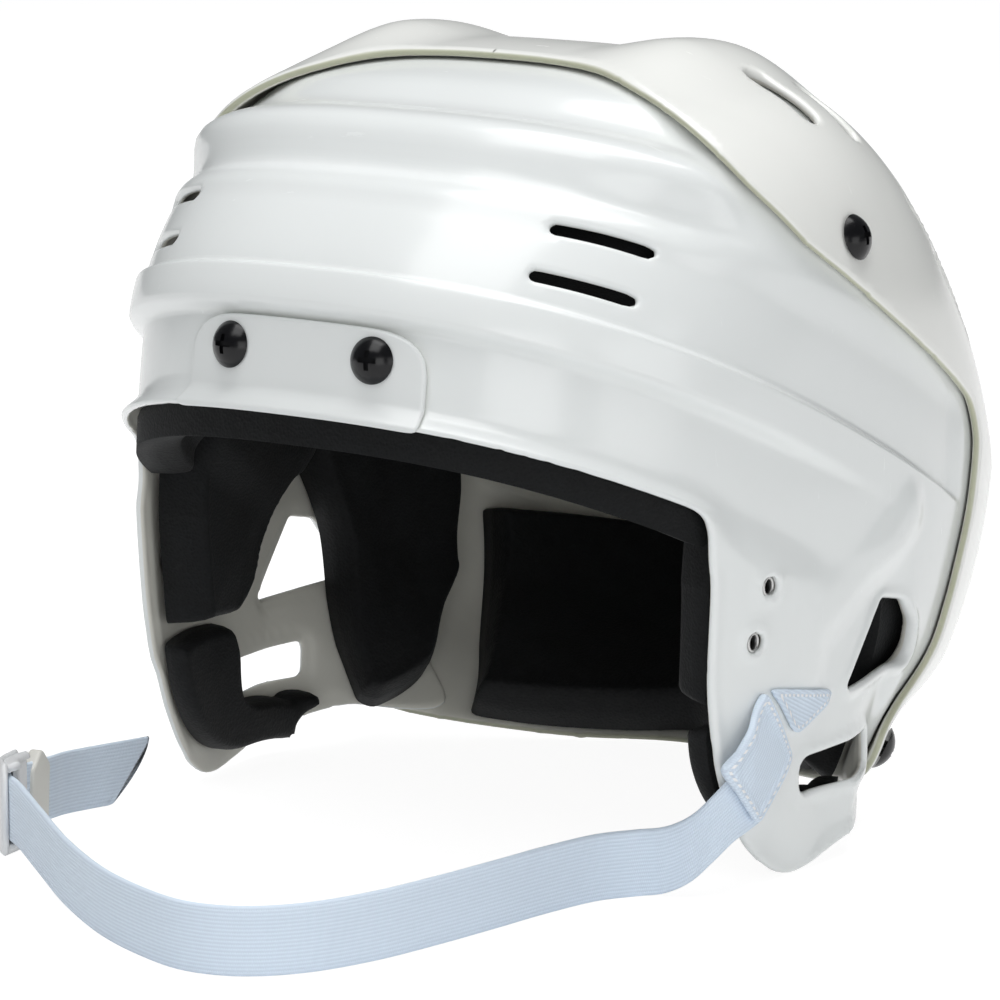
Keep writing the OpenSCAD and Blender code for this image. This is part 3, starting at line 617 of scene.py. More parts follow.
def webbing_finish(name, colours, pitch, stitched=False):
    """Elastic webbing: lengthwise ribs across the UV's v, crossed by fine picks along its u, with a
    seam of stitches 1.6 mm in from the edge where it is stitched"""
    f = Finish(name)
    white = tuple(colours.webbing)
    along, across = f.uv("X"), f.uv("Y")
    ribs = (across * (2 * math.pi / (pitch / MM))).math("COSINE") * 0.5 + 0.5
    picks = (along * (2 * math.pi / 0.62)
             + (across * (math.pi / (pitch / MM))).math("COSINE").math("SIGN") * 1.57)
    picks = picks.math("SINE") * 0.5 + 0.5
    fuzz = f.noise(1400, 3)
    height = ribs * 0.65 + picks * 0.35 + fuzz * 0.25
    # Colour follows the weave's height: painted shade in the hollows between ribs and picks, a little
    # lighter on their tops
    base = f.mix(height.between(0.25, 0.95), shade(white, 0.89), shade(white, 1.03))
    if stitched:
        seam = f.attribute("edge")
        thread = seam.between(1.1, 1.35) * seam.between(2.1, 1.85)
        dashes = ((along + across) * (2 * math.pi / 2.6)).math("SINE").between(-0.4, 0.1)
        # Painted shade in the sunken seam, where the stitches pull the webbing in
        base = f.mix(thread * 0.7, base, shade(white, 0.86))
        base = f.mix(thread * dashes, base, (0.97, 0.98, 1.0))
        height = height + thread * dashes * 1.6 - thread * 0.8
    f.set(Base_Color=base, Roughness=0.82 - ribs * 0.08, Sheen_Weight=0.25, Sheen_Roughness=0.5)
    f.bump(height, 0.5, 0.3)
    return f.material


def screw_finish(colours):
    """Black lacquer, rubbed to bare metal in a few small spots"""
    f = Finish("black_screw_lacquer")
    black = tuple(colours.screw)
    worn = f.noise(700, 5).between(0.72, 0.76)
    f.set(Base_Color=f.mix(worn, black, (0.10, 0.09, 0.085)),
          Roughness=0.17 + f.noise(500, 3) * 0.12 + worn * 0.15, Metallic=worn * 0.5,
          Specular_IOR_Level=0.32)
    f.bump(f.noise(900, 3), 0.12, 0.12)
    return f.material


def nut_finish(colours):
    """Zinc plate with fine turning lines"""
    f = Finish("zinc_plated_nut")
    steel = tuple(colours.steel)
    lines = f.noise(900, 3, (1, 1, 6))
    f.set(Base_Color=f.mix(lines, shade(steel, 0.8), shade(steel, 1.1)),
          Roughness=0.28 + lines * 0.2, Metallic=1.0)
    f.bump(lines, 0.2, 0.1)
    return f.material


def plastic_finish(name, colour, gloss, spread=0.05):
    """Plain moulded plastic with a fine grain and slight clouds"""
    f = Finish(name)
    clouds = f.noise(120, 3)
    f.set(Base_Color=f.mix(clouds, shade(colour, 1 - spread), shade(colour, 1 + spread)),
          Roughness=gloss + clouds * 0.1)
    f.bump(f.noise(1500, 2) + clouds, 0.15, 0.12)
    return f.material


# Side outlines as (y, z), corners of the ear openings as (y, z, radius), and slots and ribs from one
# (y, level) to another, close to the part's source
BROW_FAR_Y = -170.0
CHEEK_Y = -58.0


def brow_z(y):
    return BROW_LEVEL - SLOPE * y


FRONT_OUTLINE = [
    (BROW_FAR_Y, brow_z(BROW_FAR_Y)), (CHEEK_Y, brow_z(CHEEK_Y)),
    (-57.5, 62), (-55, 46), (-49, 28), (-39, 11), (-28, 2.2),
    (-21, 0), (-14, 1), (-6, 2.8), (0.5, 4.6), (11, 7.4), (22, 10.5), (34, 12.5), (44, 10.5),
    (52, 8), (60, 10), (62, 24), (68, 36), (76, 50), (86, 66), (93, 84), (96, 104), (94, 130),
    (78, 153), (52, 176), (32, 194), (22, 214), (22, 330), (BROW_FAR_Y, 330)]
REAR_OUTLINE = [
    (-15, 330), (-15, 223), (-21, 220.5), (-28, 217), (-31, 212), (-33, 206), (-31, 194),
    (-17, 177), (14, 157), (41, 141), (78, 120), (85, 108), (82, 88), (70, 64),
    (60, 48), (46, 35), (38, 27), (37, 17), (46, 10.5), (62, 6), (78, 2.6), (260, 2.6), (260, 330)]
EAR_UPPER = [(24, 70.5, 1.2), (34, 65.5, 4), (38.8, 59, 4.5), (40, 53.4, 4.3), (6.5, 49.3, 0.8)]
EAR_LOWER = [(-12.5, 28.5, 4), (-13.5, 25, 3), (23, 31.5, 1.5), (22, 24, 2)]
VISOR_HOLES = [(-37, 86), (-42, 71)]
VISOR_HOLE_D = 5.9
FRONT_SLOT_L, FRONT_SLOT_H = 27.0, 3.6
FRONT_SLOT_TURN = 30.0
FRONT_SLOT_LEVELS = (152.0, 135.5)
UNDER_TOP_SLOT = ((12, 225), (12, 212))
TOP_SLOTS = [((12, 221.3), (12, 213.5)), ((31, 224.5), (31, 216))]
TOP_SLOT_W = 8.0
FLANK_SLOTS = [((52, 208), (84, 189)), ((50, 203), (86, 182)), ((60, 191), (84, 176.5))]
FLANK_SLOT_W = 3.0
BACK_RIBS = [((128, 119.5), (137, 120)), ((129, 126), (138.5, 128))]
BACK_RIB_W, BACK_RIB_H = 2.6, 1.4

# Where the shells' grids are finer: levels, and turns with how far the finer stretch spreads
CLOSE_LEVELS = (52, 69, BROW_LEVEL + 2, 111, CREASE_LEVEL, 135.5, 152, 164, 191)
CLOSE_TURNS = [(side * turn, width) for side in (-1, 1) for turn, width in ((31, 9), (67, 7), (97, 22))]


def hull_outline(corners):
    """Closed convex line round circles given as (y, z, radius)"""
    angle = np.linspace(0, 2 * np.pi, 24, endpoint=False)
    ring = np.stack([np.cos(angle), np.sin(angle)], -1)
    points = np.concatenate([np.array(c[:2]) + c[2] * ring for c in corners])
    order = convex_hull_2d([tuple(p) for p in points])
    return smooth_outline(points[order], spacing=0.8, blur=0.8)


def surface_place(turn, level):
    return dome(turn, level), outward(turn, level)


def off_slot(p, ends, width):
    """Distance outside a round-ended slot between two places given as (y, level)"""
    return distance_slot(p, *(surface_place(turn_at(y, level), level) for y, level in ends), width / 2)


def mirrored(distance):
    """The distance worked out on the left half for both halves"""
    return lambda places: distance(off_front(places[:, 0]), places[:, 1])


def front_distance(around, level):
    """Distance inside the side outline and outside every hole"""
    p = dome(around, level)
    yz = p[:, 1:]
    dist = distance_in(yz, smooth_outline(FRONT_OUTLINE, 2.0, 3.0))
    side = p[:, 0] > 60
    for corners in (EAR_UPPER, EAR_LOWER):
        dist[side] = np.minimum(dist[side], -distance_in(yz[side], hull_outline(corners)))
    for centre in VISOR_HOLES:
        hole = np.linalg.norm(yz - np.array(centre), axis=1) - VISOR_HOLE_D / 2
        dist = np.where(side, np.minimum(dist, hole), dist)
    for slot_level in FRONT_SLOT_LEVELS:
        first = dome(FRONT_SLOT_TURN, slot_level)[0]
        last = turn_at_x(first + FRONT_SLOT_L * 0.76, slot_level)
        dist = np.minimum(dist, distance_slot(
            p, surface_place(FRONT_SLOT_TURN, slot_level), surface_place(last, slot_level),
            FRONT_SLOT_H / 2))
    return np.minimum(dist, off_slot(p, UNDER_TOP_SLOT, TOP_SLOT_W + 1.6))


def rear_rim(around, level):
    """Distance inside the rear shell's side outline"""
    return distance_in(dome(around, level)[:, 1:], smooth_outline(REAR_OUTLINE, 2.0, 3.0))


def rear_distance(around, level):
    """Distance inside the side outline and outside every slot"""
    p = dome(around, level)
    dist = rear_rim(around, level)
    for slots, width in ((TOP_SLOTS, TOP_SLOT_W), (FLANK_SLOTS, FLANK_SLOT_W)):
        for ends in slots:
            dist = np.minimum(dist, off_slot(p, ends, width))
    return dist


def back_ribs(around, level):
    """Height of the short ribs inside the rear shell, as rounded bars between two places"""
    p = dome(around, level)
    out = [distance_slot(p, surface_place(*a), surface_place(*b), 0) for a, b in BACK_RIBS]
    return BACK_RIB_H * ease((BACK_RIB_W / 2 + 0.8 - np.minimum(*out)) / 1.6)


def rolled_edge(around, level, dist):
    """Outward roll of the edges on the sides, but not where the strap swings, and flare behind the
    ear lobe"""
    p = dome(around, level)
    x, y, z = np.abs(p[:, 0]), p[:, 1], p[:, 2]
    strap_room = 1 - ease((-32 - y) / 6) * ease((44 - z) / 8)
    roll = EDGE_ROLL * ease((4.4 - dist) / 3.2) * ease((x - 72) / 12) * ease((98 - z) / 10) * strap_room
    flare = LOBE_FLARE * ease((y + 8) / 20) * ease((38 - y) / 15) * ease((36 - z) / 17)
    return roll + flare


def cover_fill(around, level):
    """Height that takes the ear bowl and the panel away where the rear shell lies over them"""
    yz = dome(around, level)[:, 1:]
    return ear_bowl(yz) * ease((yz[:, 0] - 32) / 12) + panel_sink(level) * ease((yz[:, 0] - 66) / 12)


class HELMET_OT_shells(bpy.types.Operator):
    """Front and rear shell moulded over the dome, with rounded rims, slots and openings"""
    bl_idname = "helmet.shells"
    bl_label = "Build the shells"

    def execute(self, context):
        sizes, colours = context.scene.helmet_sizes, context.scene.helmet_colours
        lining = tuple(colours.lining_side)
        rim = sizes.rim_round / MM
        steps = (rim * 0.12, rim * 0.4, rim)
        finish = shell_finish("moulded_white_plastic", tuple(colours.shell), lining)
        settle(self.front(sizes, rim, steps), "shell_body", finish, ["front_shell"])
        finish = shell_finish("moulded_warm_white_plastic", tuple(colours.rear_shell), lining,
                              painted_edge_shade=tuple(colours.painted_edge_shade))
        settle(self.rear(sizes, rim, steps), "rear_body", finish, ["rear_shell"])
        return {"FINISHED"}

    def front(self, sizes, rim, steps):
        levels = even_levels(sizes.rows, close=CLOSE_LEVELS)
        turns = even_turns(sizes.columns, -179, 179, close=CLOSE_TURNS)
        sheet = trimmed_sheet(turns, levels, mirrored(front_distance), steps)
        around, level = np.abs(sheet[0][:, 0]), sheet[0][:, 1]
        relief = front_relief(around, level)
        raised = relief + cover_fill(around, level)
        roll = rolled_edge(around, level, sheet[1])
        return add_mesh("front_shell_moulding", *moulding(sheet, raised + roll, relief + roll - WALL, rim))

    def rear(self, sizes, rim, steps):
        levels = even_levels(int(sizes.rows * 0.9), low=-20)
        sheet = trimmed_sheet(even_turns(sizes.columns), levels, mirrored(rear_distance), steps)
        lift = rear_lift(sheet[0][:, 0], sheet[0][:, 1])
        relief = rear_relief(sheet[0][:, 0], sheet[0][:, 1])
        ribs = mirrored(back_ribs)(sheet[0])
        rim_dist = mirrored(rear_rim)(sheet[0])
        marks = {"rim": np.where(rim_dist < sheet[1] + 0.5, sheet[1], rim_dist)}
        return add_mesh("rear_shell_moulding",
                        *moulding(sheet, lift + WALL + relief, lift - ribs, rim, marks))


PLATE_T, PLATE_RIM, PLATE_GAP = 2.2, 1.1, 0.3
PLATE_SIDE = [(BROW_LEVEL - 0.4, 40), (98, 40), (103, 39), (106.5, 36), (108.5, 31), (109.2, 26)]
BROW_SCREW_X, BROW_SCREW_LEVEL, BROW_HOLE_R = 24.0, 100.0, 2.8


def line_distance(places, outline):
    """Distance on the dome to a closed line of [turn, level] places, positive inside it"""
    line = smooth_outline(outline, 0.6, 1.2)
    rim = dome(line[:, 0], line[:, 1])
    p = dome(places[:, 0], places[:, 1])
    best = np.full(len(p), 1e9)
    for start, end in zip(rim, np.roll(rim, -1, 0)):
        best = np.minimum(best, off_line(p, start, end))
    return np.where(inside_line(places, line), best, -best)


class HELMET_OT_brow_plate(bpy.types.Operator):
    """Plate over the middle of the brow"""
    bl_idname = "helmet.brow_plate"
    bl_label = "Build the brow plate"

    def execute(self, context):
        side_line = [(float(turn_at_x(x, level)), level) for level, x in PLATE_SIDE]
        outline = side_line + [(-turn, level) for turn, level in side_line[::-1]]
        turns = even_turns(110, -26, 26, 100)
        levels = np.linspace(BROW_LEVEL - 2, 112, 60)

        def distance(places):
            dist = line_distance(places, outline)
            p = dome(places[:, 0], places[:, 1])
            for side in (-1, 1):
                at = surface_place(turn_at_x(side * BROW_SCREW_X, BROW_SCREW_LEVEL), BROW_SCREW_LEVEL)
                hole = np.linalg.norm(np.cross(p - at[0], at[1]), axis=1) - BROW_HOLE_R
                dist = np.minimum(dist, hole)
            return dist
        sheet = trimmed_sheet(turns, levels, distance, (0.15, 0.5, PLATE_RIM))
        relief = front_relief(sheet[0][:, 0], sheet[0][:, 1]) + PLATE_GAP
        plate = add_mesh("brow_plate_moulding", *moulding(sheet, relief + PLATE_T, relief, PLATE_RIM))
        colours = context.scene.helmet_colours
        finish = shell_finish("satin_white_plastic", shade(tuple(colours.shell), 0.93),
                              tuple(colours.lining_side), gloss=0.34)
        settle(plate, "shell_body", finish, ["brow_plate"])
        return {"FINISHED"}


# Foam pads: node, edge curves as (turn, level) places, gap under the shell, thickness and the share
# of the shell's relief that the pad follows, close to the part's source. The ear pads are cut
# straight through along x, because the shell turns sharply inwards behind the ear.
FRONT_LINING = WALL + 0.4 + 0.6
REAR_LINING = 0.4 + 0.7 - SHELL_GAP
BROW_PAD_TURNS = (-64.4, -44, -20, 20, 44, 64.4)
PADS = {
    "brow_foam": ("brow_pad", [(t, BROW_LEVEL - 9.5) for t in BROW_PAD_TURNS],
                  [(t, 110) for t in BROW_PAD_TURNS], FRONT_LINING + 0.9, 14.1, 1),
    "crown_foam_front": ("front_crown_pad", [(t, 144) for t in (-58, -30, 0, 30, 58)],
                         [(t, 200) for t in (-64, -30, 0, 30, 64)], FRONT_LINING + VALLEY_DEPTH, 12, 0),
    "crown_foam_rear": ("rear_crown_pad", [(134, 158), (156, 156), (180, 156), (204, 156), (226, 158)],
                        [(t, 212) for t in (132, 156, 180, 204, 228)], REAR_LINING, 12, 0),
    "nape_foam": ("nape_pad", [(141, 35), (152, 37), (166, 42), (180, 47), (194, 42), (208, 37), (219, 35)],
                  [(128, 111), (142, 117), (160, 121), (180, 122), (200, 121), (218, 117), (232, 111)],
                  REAR_LINING, 16, 0),
}
SIDE_PADS = {
    "temple_foam": ("temple_pad", [(77, 37), (82, 50), (85, 66), (88, 84), (92, 100), (93, 110)],
                    [(65.4, 28), (65.6, 44), (65.6, 60), (65.6, 78), (65.6, 96), (65.6, 110)],
                    FRONT_LINING + 1.6, 16, 1),
    "ear_foam": ("ear_pad",
                 [(66, 23), (67, 12), (70, 3), (75, -2), (81, -1), (87, 6), (97, 17), (105, 23.5)],
                 [(81, 38), (82, 31), (82, 23), (82.5, 17), (84, 16.5), (89, 21.5), (96, 25.5), (104, 28)],
                 FRONT_LINING + 0.7, 9, 1),
    "side_foam": ("side_pad",
                  [(93.5, 112), (96, 98), (99, 86), (102.5, 73), (106.5, 60), (111, 47), (116, 36),
                   (121, 27)],
                  [(118, 126), (120, 112), (122, 94), (126, 76), (128, 58), (130, 44), (128.5, 34),
                   (125, 26)],
                  FRONT_LINING + 1.35, 14.3, 0.7),
}
REAR_BODY_PADS = ("rear_crown_pad", "nape_pad")
REAR_BOLT = (48.0, 22.5)
POCKET_DEPTH, POCKET_R = 7.6, 6.5


def curve_through(points, s):
    """Catmull-Rom curve through points at shares s of its way"""
    p = np.array(points, float)
    n = len(p) - 1
    k = np.clip((s * n).astype(int), 0, n - 1)
    f = (s * n - k)[:, None]
    a, b, c, d = p[np.maximum(k - 1, 0)], p[k], p[k + 1], p[np.minimum(k + 2, n)]
    return 0.5 * (2 * b + (c - a) * f + (2 * a - 5 * b + 4 * c - d) * f ** 2
                  + (3 * b - a - 3 * c + d) * f ** 3)


def pad_outline(edge_a, edge_b):
    """Closed line along one edge curve and back along the other"""
    s = np.linspace(0, 1, 40)
    return np.concatenate([curve_through(edge_a, s), curve_through(edge_b, s)[::-1]])


def nut_pocket(base):
    """Depth of the pocket in the pad's back in which the nut of the rear bolt travels"""
    level = REAR_BOLT[1] + SLOPE * REAR_BOLT[0]
    place, normal = surface_place(turn_at(REAR_BOLT[0], level), level)
    ends = (place - SIZE_AXIS, normal), (place + (SIZE_TRAVEL + 1) * SIZE_AXIS, normal)
    out = distance_slot(base, *ends, POCKET_R)
    return POCKET_DEPTH * ease((1.0 - out) / 1.5)


def foam_pad(name, outline, lining, thick, follow, rounding, side=1, straight=False, pocket=None):
    """Pad under the shell whose face rounds off over its edges and crowns slightly in the middle"""
    outline = np.array(outline, float)
    low, high = outline.min(0) - 1, outline.max(0) + 1
    middle = dome((low[0] + high[0]) / 2, (low[1] + high[1]) / 2)
    across = np.linalg.norm(dome(high[0], (low[1] + high[1]) / 2) - middle) * 2
    turns = even_turns(int(across / 1.7) + 8, low[0], high[0], (low[1] + high[1]) / 2)
    levels = np.linspace(low[1], high[1], int((high[1] - low[1]) / 1.6) + 6)
    sheet = trimmed_sheet(turns, levels, lambda places: line_distance(places, outline),
                          (0.08 * rounding, 0.27 * rounding, 0.6 * rounding, rounding))
    places, dist, tris = sheet
    base, normal = dome(places[:, 0], places[:, 1]), outward(places[:, 0], places[:, 1])
    if straight:
        normal = np.sign(base) * np.array([1.0, 0.0, 0.0])
    face = follow * front_relief(places[:, 0], places[:, 1]) - lining
    near = clamp01(1 - dist / rounding)
    swell = (1 - near ** 2.4) ** (1 / 2.4) * (0.93 + 0.07 * ease(dist / 18))
    depth = pocket(base) * ease(dist / 1.5) if pocket else 0 * face
    back = base + normal * (face - depth)[:, None]
    front = base + normal * (face - (thick - 0.4) * swell)[:, None]
    points = np.concatenate([back, front])
    faces = np.concatenate([tris, tris[:, ::-1] + len(back)])
    points, faces, _ = weld(points, faces)
    if side < 0:
        points = points * np.array([-1, 1, 1])
        faces = faces[:, ::-1]
    return add_mesh(name, points, faces)


class HELMET_OT_foam(bpy.types.Operator):
    """Foam lining: brow, temples, ears, sides, crown and nape"""
    bl_idname = "helmet.foam"
    bl_label = "Build the foam lining"

    def execute(self, context):
        sizes, colours = context.scene.helmet_sizes, context.scene.helmet_colours
        finish = foam_finish(colours)
        rounding = sizes.pad_round / MM
        for name, (node, edge_a, edge_b, lining, thick, follow) in PADS.items():
            pad = foam_pad(name, pad_outline(edge_a, edge_b), lining, thick, follow, rounding)
            body = "rear_body" if node in REAR_BODY_PADS else "shell_body"
            settle(pad, body, finish, [node])
        for name, (node, edge_a, edge_b, lining, thick, follow) in SIDE_PADS.items():
            for side, word in ((1, "left"), (-1, "right")):
                pad = foam_pad(f"{name}_{word}", pad_outline(edge_a, edge_b), lining, thick, follow,
                               min(rounding, thick * 0.6), side, straight=node == "ear_pad",
                               pocket=nut_pocket if node == "side_pad" else None)
                settle(pad, "shell_body", finish, [f"{node}_{word}"])
        return {"FINISHED"}


# Chin strap route, close to the part's source
EDGE_Z = STRAP_W / 2 + 0.1
BUCKLE_H = 27.0
BUCKLE_Z = BUCKLE_H / 2 + 0.3
SLIDER_AT = np.array([-99.4, -108.5, BUCKLE_Z - 0.5])
SLIDER_AXIS = np.array([-0.182, 0.98, -0.084])
STRAP_ROUTE = [
    (102.9, -40, 29), (102.7, -45, 27.8), (101.2, -50, 25.6), (97.6, -54, 20.5), (92.2, -57, 14.5),
    (85.5, -59.6, 10.8), (78, -63.5, EDGE_Z), (71.5, -74, EDGE_Z), (67, -92, EDGE_Z), (64, -110, EDGE_Z),
    (60, -132, EDGE_Z), (54.5, -155, EDGE_Z), (46, -174, EDGE_Z), (34, -186, EDGE_Z), (19, -190, EDGE_Z),
    (2, -186, EDGE_Z), (-20, -176, EDGE_Z), (-45, -160, EDGE_Z + 0.6), (-68, -143, EDGE_Z + 2.2),
    (-85, -130.8, BUCKLE_Z - 0.2), (-93, -125.4, BUCKLE_Z), (-96.6, -121.6, BUCKLE_Z),
    (-97.9, -117, BUCKLE_Z), tuple(SLIDER_AT - 4 * SLIDER_AXIS), tuple(SLIDER_AT),
    tuple(SLIDER_AT + 7 * SLIDER_AXIS), tuple(SLIDER_AT + 14 * SLIDER_AXIS),
    tuple(SLIDER_AT + 21 * SLIDER_AXIS), (-103.4, -76, EDGE_Z + 0.9), (-98.8, -54.5, EDGE_Z + 0.2)]
TAIL_SLANT = 15.0


def tube_triangles(rings, count):
    """Two triangles for each cell between rings of count points, with a fan over each end"""
    ring = np.arange(rings - 1)[:, None] * count
    a = (ring + np.arange(count)).ravel()
    b = (ring + (np.arange(count) + 1) % count).ravel()
    fan = np.arange(1, count - 1)
    return np.concatenate([
        np.stack([a, b, b + count], 1), np.stack([a, b + count, a + count], 1),
        np.stack([fan * 0, fan + 1, fan], 1), np.stack([fan * 0, fan, fan + 1], 1) + (rings - 1) * count])


def ribbon(centre, side, up, profile):
    """Profile of (side, up) pairs carried along a path, with UV (way along it, up) in millimetres"""
    rings, count = len(centre), len(profile)
    points = (centre[:, None] + side[:, None] * profile[None, :, :1] + up[:, None] * profile[None, :, 1:])
    way = np.concatenate([[0], np.cumsum(np.linalg.norm(np.diff(centre, axis=0), axis=1))])
    uv = np.stack([np.repeat(way[:, None], count, 1), np.repeat(profile[None, :, 1], rings, 0)], -1)
    return points.reshape(-1, 3), tube_triangles(rings, count), uv.reshape(-1, 2)


def webbing_profile(width, thick, round_=0.8):
    """Cross-section of a flat strap with rounded selvedges, as (side, up) pairs"""
    half_t, half_w = thick / 2, width / 2
    r = half_t * round_
    angle = np.radians(np.linspace(0, 90, 5))
    corner = np.stack([half_t - r + r * np.cos(angle), half_w - r + r * np.sin(angle)], -1)
    side_points = np.stack([np.full(9, half_t), np.linspace(-half_w + r, half_w - r, 9)], -1)
    upper = np.concatenate([side_points, corner[1:]])
    lower = -np.concatenate([side_points, corner[1:]])
    return np.concatenate([upper, lower])


def strap_frame(first, last, count):
    """Centre line, sideways and upward directions of the strap between two points of its route"""
    centre = curve_through(STRAP_ROUTE, np.linspace(first, last, count) / (len(STRAP_ROUTE) - 1))
    run = np.gradient(centre, axis=0)
    side = np.stack([run[:, 1], -run[:, 0], np.zeros(len(run))], -1)
    side /= np.linalg.norm(side, axis=1, keepdims=True)
    return centre, side, np.tile([0.0, 0.0, 1.0], (count, 1))


def skin_patch(corners, heights, toward):
    """Closed sheet over the left side between corners given as (y, z). heights gives its inner and
    outer height over the dome. The UV runs along and across the direction toward, in millimetres."""
    line = smooth_outline(corners, 0.5, 0.5)
    level = line[:, 1] + SLOPE * line[:, 0]
    outline = np.stack([turn_at(line[:, 0], level), level], -1)
    low, high = outline.min(0) - 1, outline.max(0) + 1
    turns = even_turns(70, low[0], high[0], level.mean())
    levels = np.linspace(low[1], high[1], 70)
    sheet = trimmed_sheet(turns, levels, lambda places: line_distance(places, outline),
                          (0.12, 0.4, FOLD_RIM))
    inner, outer = heights(sheet[0][:, 0], sheet[0][:, 1], sheet[1])
    points, faces, values = moulding(sheet, outer, inner, FOLD_RIM)
    way = np.array(toward) / np.linalg.norm(toward)
    uv = np.stack([points[:, 1:] @ way, points[:, 1:] @ np.array([-way[1], way[0]])], -1)
    return points, faces, values, uv


# The sewn fold: corners of the flap and the tongue as (y, z), and the x that clears the strap at y
FLAP = [(-38.5, 57.5), (-54.5, 37.5), (-42.5, 20.5), (-24, 36)]
TONGUE = [(-37, 57.4), (-1.5, 50), (1, 49), (-2, 47.8), (-20, 40)]
FLAP_T, TONGUE_T, FOLD_RIM = 2.0, 1.5, 0.7
STRAP_COVER = ((-60, -54, -50, -45, -40), (96.6, 99.2, 102.5, 104.0, 104.2))


def flap_heights(around, level, dist):
    """Wedge that lies on the shell at its back and spans the strap at its front, with a thicker hem"""
    p, normal = dome(around, level), outward(around, level)
    back, front = np.array(FLAP[0]) + FLAP[3], np.array(FLAP[1]) + FLAP[2]
    run = (front - back) / 2
    share = ((p[:, 1:] - back / 2) @ run) / (run @ run)
    resting = front_relief(around, level) + 0.3
    spanning = (np.interp(p[:, 1], *STRAP_COVER) - p[:, 0]) / normal[:, 0]
    inner = resting + ease(share / 0.45) * np.maximum(spanning - resting, 0)
    hem = 0.45 * ease((3.3 - dist) / 0.8)
    return inner, inner + FLAP_T + hem


def tongue_heights(around, level, _):
    """Single webbing layer on the shell that dips into its slit at the back"""
    y = dome(around, level)[:, 1]
    resting = front_relief(around, level) + 0.15 - 2.0 * ease((y + 7) / 7)
    return resting, resting + TONGUE_T


class HELMET_OT_strap(bpy.types.Operator):
    """Chin strap webbing and the stitched fold that holds it"""
    bl_idname = "helmet.strap"
    bl_label = "Build the chin strap"

    def execute(self, context):
        sizes, colours = context.scene.helmet_sizes, context.scene.helmet_colours
        finish = webbing_finish("ribbed_white_webbing", colours, sizes.rib_pitch)
        centre, side, up = strap_frame(0, len(STRAP_ROUTE) - 1, 420)
        points, tris, uv = ribbon(centre, side, up, webbing_profile(STRAP_W, STRAP_T))
        tail = centre[-1] - centre[-2]
        end = ease((uv[:, 0] - uv[:, 0].max() + 18) / 18)
        slant = TAIL_SLANT * clamp01(0.5 - uv[:, 1] / STRAP_W) ** 1.6 * end
        points = points - slant[:, None] * tail / np.linalg.norm(tail)
        strap = add_mesh("chin_webbing", points, tris, uv=uv)
        settle(strap, "strap_body", finish, ["chin_strap"])
        stitched = webbing_finish("stitched_white_webbing", colours, sizes.rib_pitch, stitched=True)
        for name, corners, heights, toward in (("strap_flap", FLAP, flap_heights, (-17, -18)),
                                               ("strap_tongue", TONGUE, tongue_heights, (20, -9))):
            points, faces, values, uv = skin_patch(corners, heights, toward)
            patch = add_mesh(name, points, faces, values, uv)
            settle(patch, "shell_body", stitched, ["strap_anchor"])
        return {"FINISHED"}


def joined(parts):
    """One mesh from several (points, triangles)"""
    starts = np.cumsum([0] + [len(points) for points, _ in parts])
    return (np.concatenate([points for points, _ in parts]),
            np.concatenate([tris + start for (_, tris), start in zip(parts, starts)]))


def slab(centre, along, up, outline, thick, bevel):
    """Flat plate between closed outlines of (along, up) pairs, drawn in at its rounded edges"""
    line = smooth_outline(outline, 0.5, 0.7)
    across = np.cross(along, up)
    half = np.abs(line).max(0)
    angle = np.radians(np.linspace(0, 90, 5))
    rings = [(bevel * (1 - math.sin(a)), -thick / 2 + bevel * (1 - math.cos(a))) for a in angle]
    rings += [(inset, -height) for inset, height in rings[::-1]]
    points = [centre + (line * (1 - inset / half)) @ np.stack([along, up]) + height * across
              for inset, height in rings]
    return np.concatenate(points), tube_triangles(len(rings), len(line))


def lathed(centre, axis, profile, count=40):
    """Closed ring turned round an axis from (radius, height) pairs"""
    axis = np.array(axis, float)
    first = np.cross(axis, [0.0, 0.0, 1.0])
    first /= np.linalg.norm(first)
    second = np.cross(axis, first)
    angle = np.linspace(0, 2 * np.pi, count, endpoint=False)
    ring = np.cos(angle)[:, None] * first + np.sin(angle)[:, None] * second
    profile = np.array(profile)
    points = centre + profile[None, :, :1] * ring[:, None] + profile[None, :, 1:] * axis
    rows = len(profile)
    a = (np.arange(count)[:, None] * rows + np.arange(rows)[None]).ravel()
    b = (np.arange(count)[:, None] * rows + (np.arange(rows)[None] + 1) % rows).ravel()
    c, d = (a + rows) % (count * rows), (b + rows) % (count * rows)
    return points.reshape(-1, 3), np.concatenate([np.stack([a, b, d], 1), np.stack([a, d, c], 1)])


BUCKLE_T, BUCKLE_GAP = 2.0, 0.3
BUCKLE_OFF = STRAP_T / 2 + BUCKLE_GAP + BUCKLE_T / 2
HOOK_H, HOOK_T = 3.4, 6.2
HOOK_LIFT = BUCKLE_H / 2 - HOOK_H / 2
ADJUSTER_T, ADJUSTER_BEVEL = 4.2, 0.9
ADJUSTER = [(-5.2, -7), (-1, -12.4), (0.6, -12.4), (5, -8), (5, 8), (0.6, 12.4), (-1, 12.4), (-5.2, 7)]
INSERT = [(2.0, -2.3), (2.0, -0.55), (2.2, -0.3), (2.7, -0.3), (2.9, -0.5), (2.9, -2.3)]


def hook_buckle():
    """Plate round the outside of the strap's bend, a short bar inside it and bars over its edges.
    Each runs from one point of the strap's route to another."""
    parts = []
    for first, last, sideways, lift, width, thick, round_ in (
            (19.7, 22.8, -BUCKLE_OFF, 0, BUCKLE_H, BUCKLE_T, 0.95),
            (20.2, 22.2, BUCKLE_OFF, 0, BUCKLE_H - 3, BUCKLE_T, 0.95),
            (19.8, 22.7, 0, HOOK_LIFT, HOOK_H, HOOK_T, 0.5),
            (19.8, 22.7, 0, -HOOK_LIFT, HOOK_H, HOOK_T, 0.5)):
        centre, side, up = strap_frame(first, last, 26)
        centre = centre * [1, 1, 0] + [0, 0, BUCKLE_Z + lift] + side * sideways
        parts.append(ribbon(centre, side, up, webbing_profile(width, thick, round_))[:2])
    return joined(parts)


